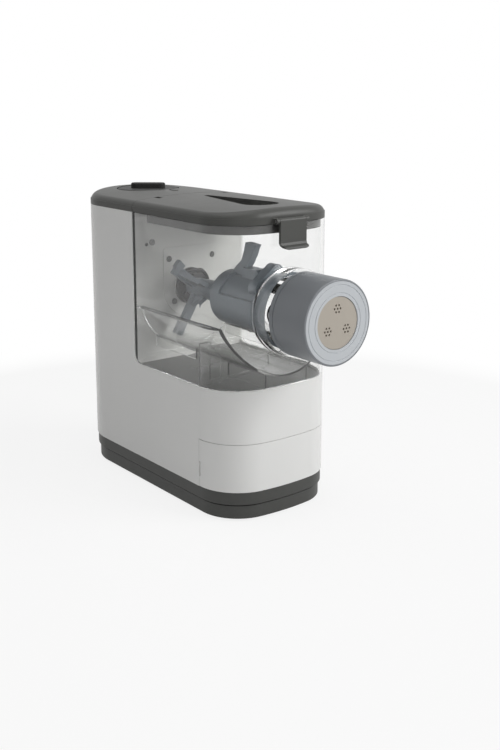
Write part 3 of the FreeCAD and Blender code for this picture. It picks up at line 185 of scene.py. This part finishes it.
def maths(tree, operation, a, b=None, x=0, y=0, clamp=False):
    made = tree.nodes.new("ShaderNodeMath")
    made.operation = operation
    made.use_clamp = clamp
    made.location = (x, y)
    for index, value in enumerate((a, b)):
        if value is None:
            continue
        if isinstance(value, (int, float)):
            made.inputs[index].default_value = value
        else:
            tree.links.new(value, made.inputs[index])
    return made.outputs[0]


def build_grain():
    """Fine spark-eroded texture of a moulded part, as a height."""
    tree, start, end = new_group("Moulded grain", [
        ("Vector", "NodeSocketVector", None), ("Scale", "NodeSocketFloat", 2200.0),
        ("Depth", "NodeSocketFloat", 0.5)], [("Height", "NodeSocketFloat")])
    fine = node(tree, "ShaderNodeTexNoise", -600, 120, Detail=3.0, Roughness=0.6)
    cells = node(tree, "ShaderNodeTexVoronoi", -600, -160)
    join(tree, start.outputs["Vector"], fine.inputs["Vector"])
    join(tree, start.outputs["Vector"], cells.inputs["Vector"])
    join(tree, start.outputs["Scale"], fine.inputs["Scale"])
    coarse = maths(tree, "MULTIPLY", start.outputs["Scale"], 0.6, -780, -200)
    join(tree, coarse, cells.inputs["Scale"])
    both = maths(tree, "ADD", fine.outputs["Fac"],
                 maths(tree, "MULTIPLY", cells.outputs["Distance"], 0.4, -380, -120), -200, 0)
    join(tree, maths(tree, "MULTIPLY", both, start.outputs["Depth"], 0, 0), end.inputs["Height"])
    return tree


def build_handling():
    """Slow uneven gloss and tone that a used, wiped surface has, from 0 to 1."""
    tree, start, end = new_group("Handling", [
        ("Vector", "NodeSocketVector", None), ("Scale", "NodeSocketFloat", 14.0),
        ("Streaks", "NodeSocketFloat", 0.3)],
        [("Tone", "NodeSocketFloat"), ("Gloss", "NodeSocketFloat")])
    slow = node(tree, "ShaderNodeTexNoise", -600, 160, Detail=4.0, Roughness=0.55, Distortion=0.4)
    join(tree, start.outputs["Vector"], slow.inputs["Vector"])
    join(tree, start.outputs["Scale"], slow.inputs["Scale"])
    squeeze = node(tree, "ShaderNodeMapping", -760, -140)
    squeeze.inputs["Scale"].default_value = (1.0, 0.12, 3.0)
    join(tree, start.outputs["Vector"], squeeze.inputs["Vector"])
    wiped = node(tree, "ShaderNodeTexNoise", -560, -140, Detail=5.0, Roughness=0.6)
    join(tree, squeeze.outputs["Vector"], wiped.inputs["Vector"])
    join(tree, maths(tree, "MULTIPLY", start.outputs["Scale"], 9.0, -760, -320), wiped.inputs["Scale"])
    streak = maths(tree, "MULTIPLY", wiped.outputs["Fac"], start.outputs["Streaks"], -340, -120)
    rest = maths(tree, "MULTIPLY", slow.outputs["Fac"],
                 maths(tree, "SUBTRACT", 1.0, start.outputs["Streaks"], -340, 60), -160, 60)
    join(tree, maths(tree, "ADD", streak, rest, 60, -60), end.inputs["Gloss"])
    join(tree, slow.outputs["Fac"], end.inputs["Tone"])
    return tree


def build_edge_rub_and_highlight():
    """Mask of the worn edges and of the painted highlight along sharp edges, broken up by noise."""
    tree, start, end = new_group("Rubbed edges and painted highlight", [
        ("Vector", "NodeSocketVector", None), ("Amount", "NodeSocketFloat", 0.3)],
        [("Mask", "NodeSocketFloat")])
    # Convex edges found by pointiness: partly rubbed wear, partly a painted highlight where edges catch
    # light.
    bent = node(tree, "ShaderNodeNewGeometry", -600, 100)
    band = node(tree, "ShaderNodeMapRange", -380, 100)
    band.inputs["From Min"].default_value = 0.51
    band.inputs["From Max"].default_value = 0.60
    join(tree, bent.outputs["Pointiness"], band.inputs["Value"])
    patch = node(tree, "ShaderNodeTexNoise", -600, -160, Scale=160.0, Detail=3.0)
    join(tree, start.outputs["Vector"], patch.inputs["Vector"])
    broken = maths(tree, "MULTIPLY", band.outputs["Result"], patch.outputs["Fac"], -160, 0)
    join(tree, maths(tree, "MULTIPLY", broken, start.outputs["Amount"], 40, 0, clamp=True),
         end.inputs["Mask"])
    return tree


def build_tool_lines():
    """Turned or brushed lines along one axis, as a height and a tone."""
    tree, start, end = new_group("Tool lines", [
        ("Vector", "NodeSocketVector", None), ("Across", "NodeSocketVector", (1.0, 60.0, 1.0)),
        ("Scale", "NodeSocketFloat", 60.0)],
        [("Height", "NodeSocketFloat"), ("Tone", "NodeSocketFloat")])
    stretch = node(tree, "ShaderNodeVectorMath", -620, 0)
    stretch.operation = "MULTIPLY"
    join(tree, start.outputs["Vector"], stretch.inputs[0])
    join(tree, start.outputs["Across"], stretch.inputs[1])
    lines = node(tree, "ShaderNodeTexNoise", -380, 0, Detail=4.0, Roughness=0.7)
    join(tree, stretch.outputs["Vector"], lines.inputs["Vector"])
    join(tree, start.outputs["Scale"], lines.inputs["Scale"])
    join(tree, lines.outputs["Fac"], end.inputs["Height"])
    join(tree, lines.outputs["Fac"], end.inputs["Tone"])
    return tree


def build_sheets():
    """Stacked thin steel sheets seen at their edges."""
    tree, start, end = new_group("Stacked sheets", [
        ("Vector", "NodeSocketVector", None), ("Pitch", "NodeSocketFloat", 0.001)],
        [("Height", "NodeSocketFloat")])
    parts = node(tree, "ShaderNodeSeparateXYZ", -620, 0)
    join(tree, start.outputs["Vector"], parts.inputs["Vector"])
    turns = maths(tree, "DIVIDE", parts.outputs["Y"], start.outputs["Pitch"], -420, 0)
    wave = maths(tree, "PINGPONG", turns, 0.5, -240, 0)
    join(tree, maths(tree, "MULTIPLY", wave, 2.0, -60, 0), end.inputs["Height"])
    return tree


GROUPS = {}


def group_of(name):
    builders = {"Moulded grain": build_grain, "Handling": build_handling,
                "Rubbed edges and painted highlight": build_edge_rub_and_highlight, "Tool lines": build_tool_lines,
                "Stacked sheets": build_sheets}
    if name not in GROUPS:
        GROUPS[name] = builders[name]()
    return GROUPS[name]


def place_group(tree, name, vector, x, y, **values):
    made = tree.nodes.new("ShaderNodeGroup")
    made.node_tree = group_of(name)
    made.location = (x, y)
    tree.links.new(vector, made.inputs["Vector"])
    for key, value in values.items():
        made.inputs[key].default_value = value
    return made


# Materials

MATERIALS = {}


def start_material(name):
    material = bpy.data.materials.new(name)
    material.use_nodes = True
    tree = material.node_tree
    shader = tree.nodes["Principled BSDF"]
    spot = node(tree, "ShaderNodeTexCoord", -1200, 0)
    MATERIALS[name] = material
    return material, tree, shader, spot.outputs["Object"]


def scaled(colour, factor):
    return tuple(min(1.0, c * factor) for c in colour[:3]) + (1.0,)


def mix_colour(tree, factor, a, b, x, y):
    made = tree.nodes.new("ShaderNodeMix")
    made.data_type = "RGBA"
    made.location = (x, y)
    tree.links.new(factor, made.inputs["Factor"])
    for socket, value in ((made.inputs["A"], a), (made.inputs["B"], b)):
        if isinstance(value, tuple):
            socket.default_value = value
        else:
            tree.links.new(value, socket)
    return made.outputs["Result"]


def moulded(name, colour, rough, grain=2200.0, depth=0.06, tone=0.05, spread=0.08, rub_and_highlight=0.3,
            coat=0.0, coat_rough=0.06, lift=1.35, streaks=0.3, specular=0.5):
    """A moulded plastic: fine grain, slow tone changes, edges lightened by wear and by a painted highlight.
    """
    material, tree, shader, spot = start_material(name)
    hand = place_group(tree, "Handling", spot, -950, 260, Streaks=streaks)
    base = mix_colour(tree, hand.outputs["Tone"], scaled(colour, 1 - tone), scaled(colour, 1 + tone),
                      -640, 300)
    # Edges are lifted towards a lighter colour: partly rubbed wear, partly a painted highlight.
    edges = place_group(tree, "Rubbed edges and painted highlight", spot, -950, 0, Amount=rub_and_highlight)
    base = mix_colour(tree, edges.outputs["Mask"], base, scaled(colour, lift), -420, 260)
    join(tree, base, shader.inputs["Base Color"])
    band = node(tree, "ShaderNodeMapRange", -640, 40)
    band.inputs["To Min"].default_value = max(0.02, rough - spread)
    band.inputs["To Max"].default_value = rough + spread
    join(tree, hand.outputs["Gloss"], band.inputs["Value"])
    join(tree, band.outputs["Result"], shader.inputs["Roughness"])
    fine = place_group(tree, "Moulded grain", spot, -950, -260, Scale=grain)
    bump = node(tree, "ShaderNodeBump", -420, -220, Strength=depth, Distance=0.0004)
    join(tree, fine.outputs["Height"], bump.inputs["Height"])
    join(tree, bump.outputs["Normal"], shader.inputs["Normal"])
    shader.inputs["Coat Weight"].default_value = coat
    shader.inputs["Coat Roughness"].default_value = coat_rough
    shader.inputs["Specular IOR Level"].default_value = specular
    return material


def metal(name, colour, rough, across, scale=60.0, depth=0.08, tone=0.12, rub_and_highlight=0.4):
    """Turned, brushed or cast metal with tool lines."""
    material, tree, shader, spot = start_material(name)
    lines = place_group(tree, "Tool lines", spot, -950, 200, Across=across, Scale=scale)
    base = mix_colour(tree, lines.outputs["Tone"], scaled(colour, 1 - tone), scaled(colour, 1 + tone),
                      -640, 300)
    # Edges lightened 1.3 times: partly rubbed wear, partly a painted highlight.
    edges = place_group(tree, "Rubbed edges and painted highlight", spot, -950, -60, Amount=rub_and_highlight)
    base = mix_colour(tree, edges.outputs["Mask"], base, scaled(colour, 1.3), -420, 260)
    join(tree, base, shader.inputs["Base Color"])
    band = node(tree, "ShaderNodeMapRange", -640, 40)
    band.inputs["To Min"].default_value = max(0.03, rough - 0.07)
    band.inputs["To Max"].default_value = rough + 0.07
    join(tree, lines.outputs["Tone"], band.inputs["Value"])
    join(tree, band.outputs["Result"], shader.inputs["Roughness"])
    bump = node(tree, "ShaderNodeBump", -420, -220, Strength=depth, Distance=0.0003)
    join(tree, lines.outputs["Height"], bump.inputs["Height"])
    join(tree, bump.outputs["Normal"], shader.inputs["Normal"])
    shader.inputs["Metallic"].default_value = 1.0
    return material


def laminated(name, colour):
    material, tree, shader, spot = start_material(name)
    sheets = place_group(tree, "Stacked sheets", spot, -950, 200, Pitch=0.001)
    hand = place_group(tree, "Handling", spot, -950, -60, Streaks=0.1)
    base = mix_colour(tree, sheets.outputs["Height"], scaled(colour, 0.55), scaled(colour, 1.1),
                      -640, 300)
    join(tree, base, shader.inputs["Base Color"])
    band = node(tree, "ShaderNodeMapRange", -640, 40)
    band.inputs["To Min"].default_value = 0.3
    band.inputs["To Max"].default_value = 0.55
    join(tree, hand.outputs["Gloss"], band.inputs["Value"])
    join(tree, band.outputs["Result"], shader.inputs["Roughness"])
    bump = node(tree, "ShaderNodeBump", -420, -220, Strength=0.5, Distance=0.0002)
    join(tree, sheets.outputs["Height"], bump.inputs["Height"])
    join(tree, bump.outputs["Normal"], shader.inputs["Normal"])
    shader.inputs["Metallic"].default_value = 0.85
    return material


def circuit(name, colour):
    """Coated board with copper tracks under the coating."""
    material, tree, shader, spot = start_material(name)
    grid = node(tree, "ShaderNodeTexBrick", -900, 200, Scale=60.0)
    grid.inputs["Mortar Size"].default_value = 0.04
    grid.inputs["Color1"].default_value = (0, 0, 0, 1)
    grid.inputs["Color2"].default_value = (0.25, 0.25, 0.25, 1)
    grid.inputs["Mortar"].default_value = (1, 1, 1, 1)
    join(tree, spot, grid.inputs["Vector"])
    base = mix_colour(tree, grid.outputs["Fac"], scaled(colour, 1.0), scaled(colour, 2.1), -640, 300)
    join(tree, base, shader.inputs["Base Color"])
    hand = place_group(tree, "Handling", spot, -950, -60)
    band = node(tree, "ShaderNodeMapRange", -640, 40)
    band.inputs["To Min"].default_value = 0.2
    band.inputs["To Max"].default_value = 0.4
    join(tree, hand.outputs["Gloss"], band.inputs["Value"])
    join(tree, band.outputs["Result"], shader.inputs["Roughness"])
    bump = node(tree, "ShaderNodeBump", -420, -220, Strength=0.3, Distance=0.0001)
    join(tree, grid.outputs["Fac"], bump.inputs["Height"])
    join(tree, bump.outputs["Normal"], shader.inputs["Normal"])
    return material


def clear_plastic(name, colour, rough, ior):
    """Clear moulded plastic with faint wiping marks. Lamps reach what stands behind it."""
    material, tree, shader, spot = start_material(name)
    hand = place_group(tree, "Handling", spot, -950, 100, Scale=26.0, Streaks=0.6)
    band = node(tree, "ShaderNodeMapRange", -640, 40)
    band.inputs["To Min"].default_value = max(0.0, rough - 0.015)
    band.inputs["To Max"].default_value = rough + 0.03
    join(tree, hand.outputs["Gloss"], band.inputs["Value"])
    join(tree, band.outputs["Result"], shader.inputs["Roughness"])
    base = mix_colour(tree, hand.outputs["Tone"], scaled(colour, 0.985), scaled(colour, 1.01),
                      -640, 300)
    join(tree, base, shader.inputs["Base Color"])
    bump = node(tree, "ShaderNodeBump", -420, -220, Strength=0.02, Distance=0.0005)
    join(tree, hand.outputs["Gloss"], bump.inputs["Height"])
    join(tree, bump.outputs["Normal"], shader.inputs["Normal"])
    shader.inputs["IOR"].default_value = ior
    shader.inputs["Transmission Weight"].default_value = 1.0
    shader.inputs["Metallic"].default_value = 0.0
    out = tree.nodes["Material Output"]
    path = node(tree, "ShaderNodeLightPath", 40, 360)
    open_way = node(tree, "ShaderNodeBsdfTransparent", 40, -160)
    open_way.inputs["Color"].default_value = scaled(colour, 0.97)
    blend = node(tree, "ShaderNodeMixShader", 300, 120)
    join(tree, path.outputs["Is Shadow Ray"], blend.inputs["Fac"])
    join(tree, shader.outputs["BSDF"], blend.inputs[1])
    join(tree, open_way.outputs["BSDF"], blend.inputs[2])
    join(tree, blend.outputs["Shader"], out.inputs["Surface"])
    return material


def finish_for(slot_name):
    """The material of one of the record's slots, built when it is first asked for."""
    if slot_name in MATERIALS:
        return MATERIALS[slot_name]
    scene = bpy.context.scene
    house, top = scene.pasta_housing, scene.pasta_top
    drive, nozzle, tub = scene.pasta_drive, scene.pasta_nozzle, scene.pasta_chamber
    black = (0.012, 0.012, 0.012)
    if slot_name == "shell_white":
        return moulded(slot_name, house.white, house.white_rough, grain=900.0, depth=0.012,
                       tone=0.012, spread=0.05, rub_and_highlight=0.1, coat=0.35, coat_rough=0.08, lift=1.05, streaks=0.5)
    if slot_name == "lid_grey":
        return moulded(slot_name, top.dark, top.rough, grain=2600.0, depth=0.09, tone=0.06,
                       specular=0.32)
    if slot_name == "knob_black":
        return moulded(slot_name, top.knob, 0.46, grain=2600.0, depth=0.07, tone=0.08,
                       specular=0.2)
    if slot_name == "base_grey":
        return moulded(slot_name, house.base, 0.46, grain=2400.0, depth=0.10, tone=0.07)
    if slot_name == "pale_grey":
        return moulded(slot_name, house.pale, 0.42, grain=1800.0, depth=0.05, tone=0.03, rub_and_highlight=0.2,
                       lift=1.12)
    if slot_name == "clear_tub":
        return clear_plastic(slot_name, tub.clear, tub.rough, tub.ior)
    if slot_name == "paddle_grey":
        return moulded(slot_name, drive.paddle, drive.paddle_rough, grain=2000.0, depth=0.05,
                       tone=0.05)
    if slot_name == "cap_grey":
        return moulded(slot_name, nozzle.cap, 0.38, grain=2400.0, depth=0.06, tone=0.04)
    if slot_name == "ring_grey":
        return moulded(slot_name, nozzle.ring, 0.34, grain=2400.0, depth=0.04, tone=0.03, lift=1.1)
    if slot_name == "disc_beige":
        return moulded(slot_name, nozzle.disc, 0.45, grain=1500.0, depth=0.06, tone=0.07, lift=1.15)
    if slot_name == "rubber":
        return moulded(slot_name, (0.018, 0.018, 0.018), 0.75, grain=1600.0, depth=0.2, tone=0.2,
                       specular=0.3)
    if slot_name == "seal_rubber":
        return moulded(slot_name, (0.060, 0.060, 0.057), 0.5, grain=1400.0, depth=0.08, tone=0.08,
                       specular=0.35)
    if slot_name == "gear_nylon":
        return moulded(slot_name, drive.nylon, 0.45, grain=1200.0, depth=0.06, tone=0.05, lift=1.1)
    if slot_name == "board_green":
        return circuit(slot_name, (0.010, 0.085, 0.030))
    if slot_name == "steel":
        return metal(slot_name, drive.steel, 0.28, (1.0, 40.0, 1.0))
    if slot_name == "screw_steel":
        return metal(slot_name, (0.60, 0.60, 0.60), 0.22, (30.0, 1.0, 30.0), scale=40.0, depth=0.05)
    if slot_name == "frame_alloy":
        return metal(slot_name, (0.62, 0.62, 0.63), 0.48, (1.0, 1.0, 1.0), scale=900.0, depth=0.2)
    if slot_name == "stack_steel":
        return laminated(slot_name, (0.30, 0.30, 0.31))
    # Other parts are black, with edges lightened 2.2 times: partly rubbed wear, partly a painted highlight.
    return moulded(slot_name, black, 0.45, grain=2200.0, depth=0.08, tone=0.15, lift=2.2)


# Meshes

def link(obj):
    bpy.context.scene.collection.objects.link(obj)
    return obj


def applied(obj):
    """The object with its modifiers made part of the mesh."""
    graph = bpy.context.evaluated_depsgraph_get()
    graph.update()
    mesh = bpy.data.meshes.new_from_object(obj.evaluated_get(graph))
    obj.modifiers.clear()
    old = obj.data
    obj.data = mesh
    bpy.data.meshes.remove(old)
    return obj


def soften(mesh):
    """Smooth faces, split at edges sharper than the angle."""
    work = bmesh.new()
    work.from_mesh(mesh)
    limit = math.radians(SMOOTH_ANGLE)
    for face in work.faces:
        face.smooth = True
    for edge in work.edges:
        edge.smooth = len(edge.link_faces) == 2 and edge.calc_face_angle(0.0) < limit
    work.to_mesh(mesh)
    work.free()


def clean_copy(node_name, name):
    """A copy of a measured solid's mesh, with its flat faces made whole again."""
    mesh = NODES[node_name].data.copy()
    mesh.name = name
    if mesh.has_custom_normals:
        mesh.attributes.remove(mesh.attributes["custom_normal"])
    work = bmesh.new()
    work.from_mesh(mesh)
    bmesh.ops.remove_doubles(work, verts=work.verts, dist=WELD)
    bmesh.ops.dissolve_degenerate(work, edges=work.edges, dist=WELD)
    bmesh.ops.dissolve_limit(work, angle_limit=math.radians(FLAT_ANGLE), verts=work.verts,
                             edges=work.edges)
    work.to_mesh(mesh)
    work.free()
    mesh.materials.clear()
    return link(bpy.data.objects.new(name, mesh))


def mark_edges(mesh, joint_y):
    """Marks the edges to be rounded: sharp ones that don't lie in the plane of a hidden joint."""
    work = bmesh.new()
    work.from_mesh(mesh)
    weight = work.edges.layers.float.new("bevel_weight_edge")
    for edge in work.edges:
        hidden = joint_y is not None and all(abs(v.co.y - joint_y) < JOINT_TOLERANCE for v in edge.verts)
        sharp = len(edge.link_faces) == 2 and edge.calc_face_angle(0.0) > math.radians(SHARP_ANGLE)
        edge[weight] = 1.0 if sharp and not hidden else 0.0
    work.to_mesh(mesh)
    work.free()


def refine(node_name, name, edge=None, segments=3, joint_y=None, finish=None):
    """A piece that stands for a solid, with its moulded edges rounded."""
    obj = clean_copy(node_name, name)
    edge = FINE_EDGES[name] if edge is None else edge
    if edge > 0:
        mark_edges(obj.data, joint_y)
        bevel = obj.modifiers.new("Rounded edges", "BEVEL")
        bevel.width = edge
        bevel.segments = segments
        bevel.limit_method = "WEIGHT"
        bevel.use_clamp_overlap = True
        bevel.harden_normals = False
        bevel.miter_outer = "MITER_ARC"
        applied(obj)
    soften(obj.data)
    weigh = obj.modifiers.new("Even shading", "WEIGHTED_NORMAL")
    weigh.keep_sharp = True
    weigh.weight = 80
    applied(obj)
    return settle(obj, BODY_OF[node_name], SLOT_OF[node_name], node_name, finish)


def settle(obj, body, slot_name, node_name, finish):
    """Gives a piece its finish and lets it ride on its body."""
    obj.data.materials.clear()
    obj.data.materials.append(finish_for(finish or slot_name))
    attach(obj, body)
    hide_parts(node_name)
    return obj


def dress(node_name):
    """A measured solid whose shape is right: it keeps its mesh and gets its finish."""
    obj = NODES[node_name]
    obj.data.materials.clear()
    obj.data.materials.append(finish_for(SLOT_OF[node_name]))
    for face in obj.data.polygons:
        face.material_index = 0


# Operators, one for each group of pieces

class PASTA_OT_housing(bpy.types.Operator):
    """Shell, base, drawer and the small parts on them"""
    bl_idname = "pasta.housing"
    bl_label = "Housing"

    def execute(self, context):
        values = context.scene.pasta_housing
        tower_front = float(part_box("main_shell")[0][1])
        refine("main_shell", "shell_skin", values.edge, joint_y=tower_front)
        refine("tub_shell", "tub_skin", values.edge, joint_y=tower_front)
        refine("drawer_front", "drawer_face", values.edge)
        refine("base_tray", "base_body", values.base_edge)
        refine("chamber_deck", "deck_plate", values.edge)
        for name in ("rubber_feet", "base_screws", "cord_gland", "drawer_bay", "drawer_tray"):
            dress(name)
        return {"FINISHED"}


class PASTA_OT_bulkhead(bpy.types.Operator):
    """Pale wall behind the chamber with its panel, screws and sensor pins"""
    bl_idname = "pasta.bulkhead"
    bl_label = "Bulkhead"

    def execute(self, context):
        refine("bulkhead_panel", "drive_panel", segments=2)
        refine("socket_ring", "black_ring")
        refine("bulkhead_sensors", "sensor_pins", segments=2)
        for name in ("bulkhead", "panel_screws"):
            dress(name)
        return {"FINISHED"}


class PASTA_OT_chamber(bpy.types.Operator):
    """Clear mixing chamber, its seal and the extrusion tube"""
    bl_idname = "pasta.chamber"
    bl_label = "Mixing chamber"

    def execute(self, context):
        values = context.scene.pasta_chamber
        refine("mixing_chamber", "clear_chamber", values.edge, segments=2)
        refine("chamber_trough", "clear_trough", values.edge, segments=2)
        refine("trough_ribs", "clear_ribs", segments=2)
        refine("extrusion_tube", "tube_body")
        refine("tube_seal", "collar_seal")
        return {"FINISHED"}


class PASTA_OT_paddle(bpy.types.Operator):
    """Mixing paddle, its drive socket and the extruder screw"""
    bl_idname = "pasta.paddle"
    bl_label = "Mixing paddle"

    def execute(self, context):
        refine("mixing_paddle", "paddle_body")
        refine("drive_socket", "socket_hub")
        for name in ("extruder_screw", "output_shaft", "output_gear"):
            dress(name)
        return {"FINISHED"}


class PASTA_OT_drive(bpy.types.Operator):
    """Gearbox and motor inside the rear tower"""
    bl_idname = "pasta.drive"
    bl_label = "Drive"

    def execute(self, context):
        for name in ("compound_gear", "gear_pin", "gearbox_front", "gearbox_rear",
                     "gearbox_screws", "shaft_bearings", "motor_frame_front",
                     "motor_frame_rear", "motor_stator", "motor_bolts", "motor_bearings",
                     "motor_rotor", "motor_shaft", "motor_pinion", "cooling_fan"):
            dress(name)
        return {"FINISHED"}


class PASTA_OT_top(bpy.types.Operator):
    """Lid, latch, rear cover, knob and the electrics under them"""
    bl_idname = "pasta.top"
    bl_label = "Top"

    def execute(self, context):
        values = context.scene.pasta_top
        refine("lid_shell", "lid_body", values.edge)
        refine("rear_cover", "cover_body", values.edge)
        refine("lid_seal", "lid_skirt")
        refine("latch_clip", "latch_strap")
        refine("knob_skirt", "knob_body", finish="knob_black")
        refine("knob_grip", "knob_bar", finish="knob_black")
        for name in ("cover_mark", "hinge_pins", "latch_pin", "mode_switch", "control_board", "board_screws",
                     "board_components", "lid_switch"):
            dress(name)
        return {"FINISHED"}


class PASTA_OT_nozzle(bpy.types.Operator):
    """Nozzle cap, the ring on its face and the shaping disc"""
    bl_idname = "pasta.nozzle"
    bl_label = "Nozzle"

    def execute(self, context):
        values = context.scene.pasta_nozzle
        refine("nozzle_cap", "cap_body", values.edge)
        refine("cap_face_ring", "face_ring", segments=2)
        refine("shaping_disc", "disc_body", segments=2)
        return {"FINISHED"}


CAMERA_PLACE = (-0.58980, -0.80400, 0.39287)
CAMERA_TURN = -38.0159
CAMERA_RISE = 11.6898
CAMERA_LENS = 49.72
CAMERA_SHIFT = -0.1003


def soft_light(name, place, target, size, power):
    data = bpy.data.lights.new(name, "AREA")
    data.shape = "RECTANGLE"
    data.size, data.size_y = size
    data.energy = power
    obj = link(bpy.data.objects.new(name, data))
    obj.location = place
    way = Vector(target) - Vector(place)
    obj.rotation_euler = way.to_track_quat("-Z", "Y").to_euler()
    return obj


class PASTA_OT_stage(bpy.types.Operator):
    """Floor, soft lights and the camera"""
    bl_idname = "pasta.stage"
    bl_label = "Stage"

    def execute(self, context):
        values = context.scene.pasta_stage
        self.make_world(context, values)
        self.make_floor(values)
        for name, power in (("Key", values.key), ("Top", values.top), ("Side", values.side)):
            soft_light(name, *LAMPS[name], power)
        self.make_camera(context)
        context.scene.view_settings.view_transform = "Standard"
        return {"FINISHED"}

    def make_camera(self, context):
        data = bpy.data.cameras.new("Camera")
        data.sensor_width = 36.0
        data.lens = CAMERA_LENS
        data.shift_y = CAMERA_SHIFT
        data.clip_start = 0.01
        obj = link(bpy.data.objects.new("Camera", data))
        turn, rise = math.radians(CAMERA_TURN), math.radians(CAMERA_RISE)
        back = Vector((math.sin(turn) * math.cos(rise), -math.cos(turn) * math.cos(rise),
                       math.sin(rise)))
        right = Vector((math.cos(turn), math.sin(turn), 0.0))
        up = back.cross(right)
        pose = Matrix((right, up, back)).transposed().to_4x4()
        pose.translation = Vector(CAMERA_PLACE)
        obj.matrix_world = pose
        context.scene.camera = obj

    def make_world(self, context, values):
        world = bpy.data.worlds.new("Studio")
        context.scene.world = world
        world.use_nodes = True
        tree = world.node_tree
        plain = tree.nodes["Background"]
        plain.inputs["Color"].default_value = (1.0, 1.0, 1.0, 1.0)
        plain.inputs["Strength"].default_value = values.ambient
        shown = node(tree, "ShaderNodeBackground", 0, -160)
        shown.inputs["Color"].default_value = (1.0, 1.0, 1.0, 1.0)
        shown.inputs["Strength"].default_value = 1.0
        path = node(tree, "ShaderNodeLightPath", -500, 200)
        seen = maths(tree, "MAXIMUM", path.outputs["Is Camera Ray"],
                     path.outputs["Is Transmission Ray"], -280, 200)
        soft = maths(tree, "MULTIPLY", path.outputs["Is Glossy Ray"], 0.75, -280, 40)
        seen = maths(tree, "MAXIMUM", seen, soft, -100, 160)
        blend = node(tree, "ShaderNodeMixShader", 240, 60)
        join(tree, seen, blend.inputs["Fac"])
        join(tree, plain.outputs[0], blend.inputs[1])
        join(tree, shown.outputs[0], blend.inputs[2])
        join(tree, blend.outputs[0], tree.nodes["World Output"].inputs["Surface"])

    def make_floor(self, values):
        work = bmesh.new()
        bmesh.ops.create_grid(work, x_segments=24, y_segments=24, size=values.floor_size / 2)
        mesh = bpy.data.meshes.new("Floor")
        work.to_mesh(mesh)
        work.free()
        obj = link(bpy.data.objects.new("Floor", mesh))
        obj.location.z = -FLOOR_DROP
        material = bpy.data.materials.new("Floor paper")
        material.use_nodes = True
        tree = material.node_tree
        shader = tree.nodes["Principled BSDF"]
        shader.inputs["Roughness"].default_value = 0.85
        shader.inputs["Specular IOR Level"].default_value = 0.15
        spot = node(tree, "ShaderNodeTexCoord", -1100, 0)
        paper = node(tree, "ShaderNodeTexNoise", -860, -200, Scale=400.0, Detail=3.0)
        join(tree, spot.outputs["Object"], paper.inputs["Vector"])
        bump = node(tree, "ShaderNodeBump", -420, -220, Strength=0.02, Distance=0.001)
        join(tree, paper.outputs["Fac"], bump.inputs["Height"])
        join(tree, bump.outputs["Normal"], shader.inputs["Normal"])
        tone = mix_colour(tree, paper.outputs["Fac"], scaled(values.floor, 0.99),
                          scaled(values.floor, 1.01), -420, 200)
        join(tree, tone, shader.inputs["Base Color"])
        far = node(tree, "ShaderNodeVectorMath", -860, 240)
        far.operation = "LENGTH"
        join(tree, spot.outputs["Object"], far.inputs[0])
        fade = node(tree, "ShaderNodeMapRange", -640, 240)
        fade.interpolation_type = "SMOOTHSTEP"
        fade.inputs["From Min"].default_value = FLOOR_FADE[0]
        fade.inputs["From Max"].default_value = FLOOR_FADE[1]
        join(tree, far.outputs["Value"], fade.inputs["Value"])
        path = node(tree, "ShaderNodeLightPath", -860, 520)
        seen = maths(tree, "MAXIMUM", path.outputs["Is Camera Ray"],
                     path.outputs["Is Transmission Ray"], -640, 520)
        seen = maths(tree, "MAXIMUM", seen,
                     maths(tree, "MULTIPLY", path.outputs["Is Glossy Ray"], 0.6, -640, 400), -460, 480)
        paper_white = maths(tree, "MAXIMUM", fade.outputs["Result"], PAPER_WHITE, -440, 300)
        amount = maths(tree, "MULTIPLY", seen, paper_white, -260, 440)
        glow = node(tree, "ShaderNodeEmission", 0, 300)
        glow.inputs["Strength"].default_value = 1.0
        blend = node(tree, "ShaderNodeMixShader", 300, 120)
        join(tree, amount, blend.inputs["Fac"])
        join(tree, shader.outputs["BSDF"], blend.inputs[1])
        join(tree, glow.outputs["Emission"], blend.inputs[2])
        join(tree, blend.outputs["Shader"], tree.nodes["Material Output"].inputs["Surface"])
        mesh.materials.append(material)


OPERATORS = (PASTA_OT_housing, PASTA_OT_bulkhead, PASTA_OT_chamber, PASTA_OT_paddle,
             PASTA_OT_drive, PASTA_OT_top, PASTA_OT_nozzle, PASTA_OT_stage)
SETTINGS = (("pasta_housing", PastaHousingSettings), ("pasta_top", PastaTopSettings),
            ("pasta_chamber", PastaChamberSettings), ("pasta_drive", PastaDriveSettings),
            ("pasta_nozzle", PastaNozzleSettings), ("pasta_stage", PastaStageSettings))


class PASTA_PT_panel(bpy.types.Panel):
    """Sidebar list of the pasta maker's groups of pieces"""
    bl_idname = "PASTA_PT_panel"
    bl_label = "Pasta maker"
    bl_space_type = "VIEW_3D"
    bl_region_type = "UI"
    bl_category = "Pasta maker"

    def draw(self, context):
        column = self.layout.column(align=True)
        for operator in OPERATORS:
            column.operator(operator.bl_idname)


def register():
    for name, group in SETTINGS:
        bpy.utils.register_class(group)
        setattr(bpy.types.Scene, name, PointerProperty(type=group))
    for operator in OPERATORS:
        bpy.utils.register_class(operator)
    bpy.utils.register_class(PASTA_PT_panel)


def unregister():
    bpy.utils.unregister_class(PASTA_PT_panel)
    for operator in reversed(OPERATORS):
        bpy.utils.unregister_class(operator)
    for name, group in reversed(SETTINGS):
        delattr(bpy.types.Scene, name)
        bpy.utils.unregister_class(group)


def main():
    register()
    bpy.ops.pasta.stage()
    bpy.ops.pasta.housing()
    bpy.ops.pasta.bulkhead()
    bpy.ops.pasta.chamber()
    bpy.ops.pasta.paddle()
    bpy.ops.pasta.drive()
    bpy.ops.pasta.top()
    bpy.ops.pasta.nozzle()


if __name__ == "__main__":
    main()
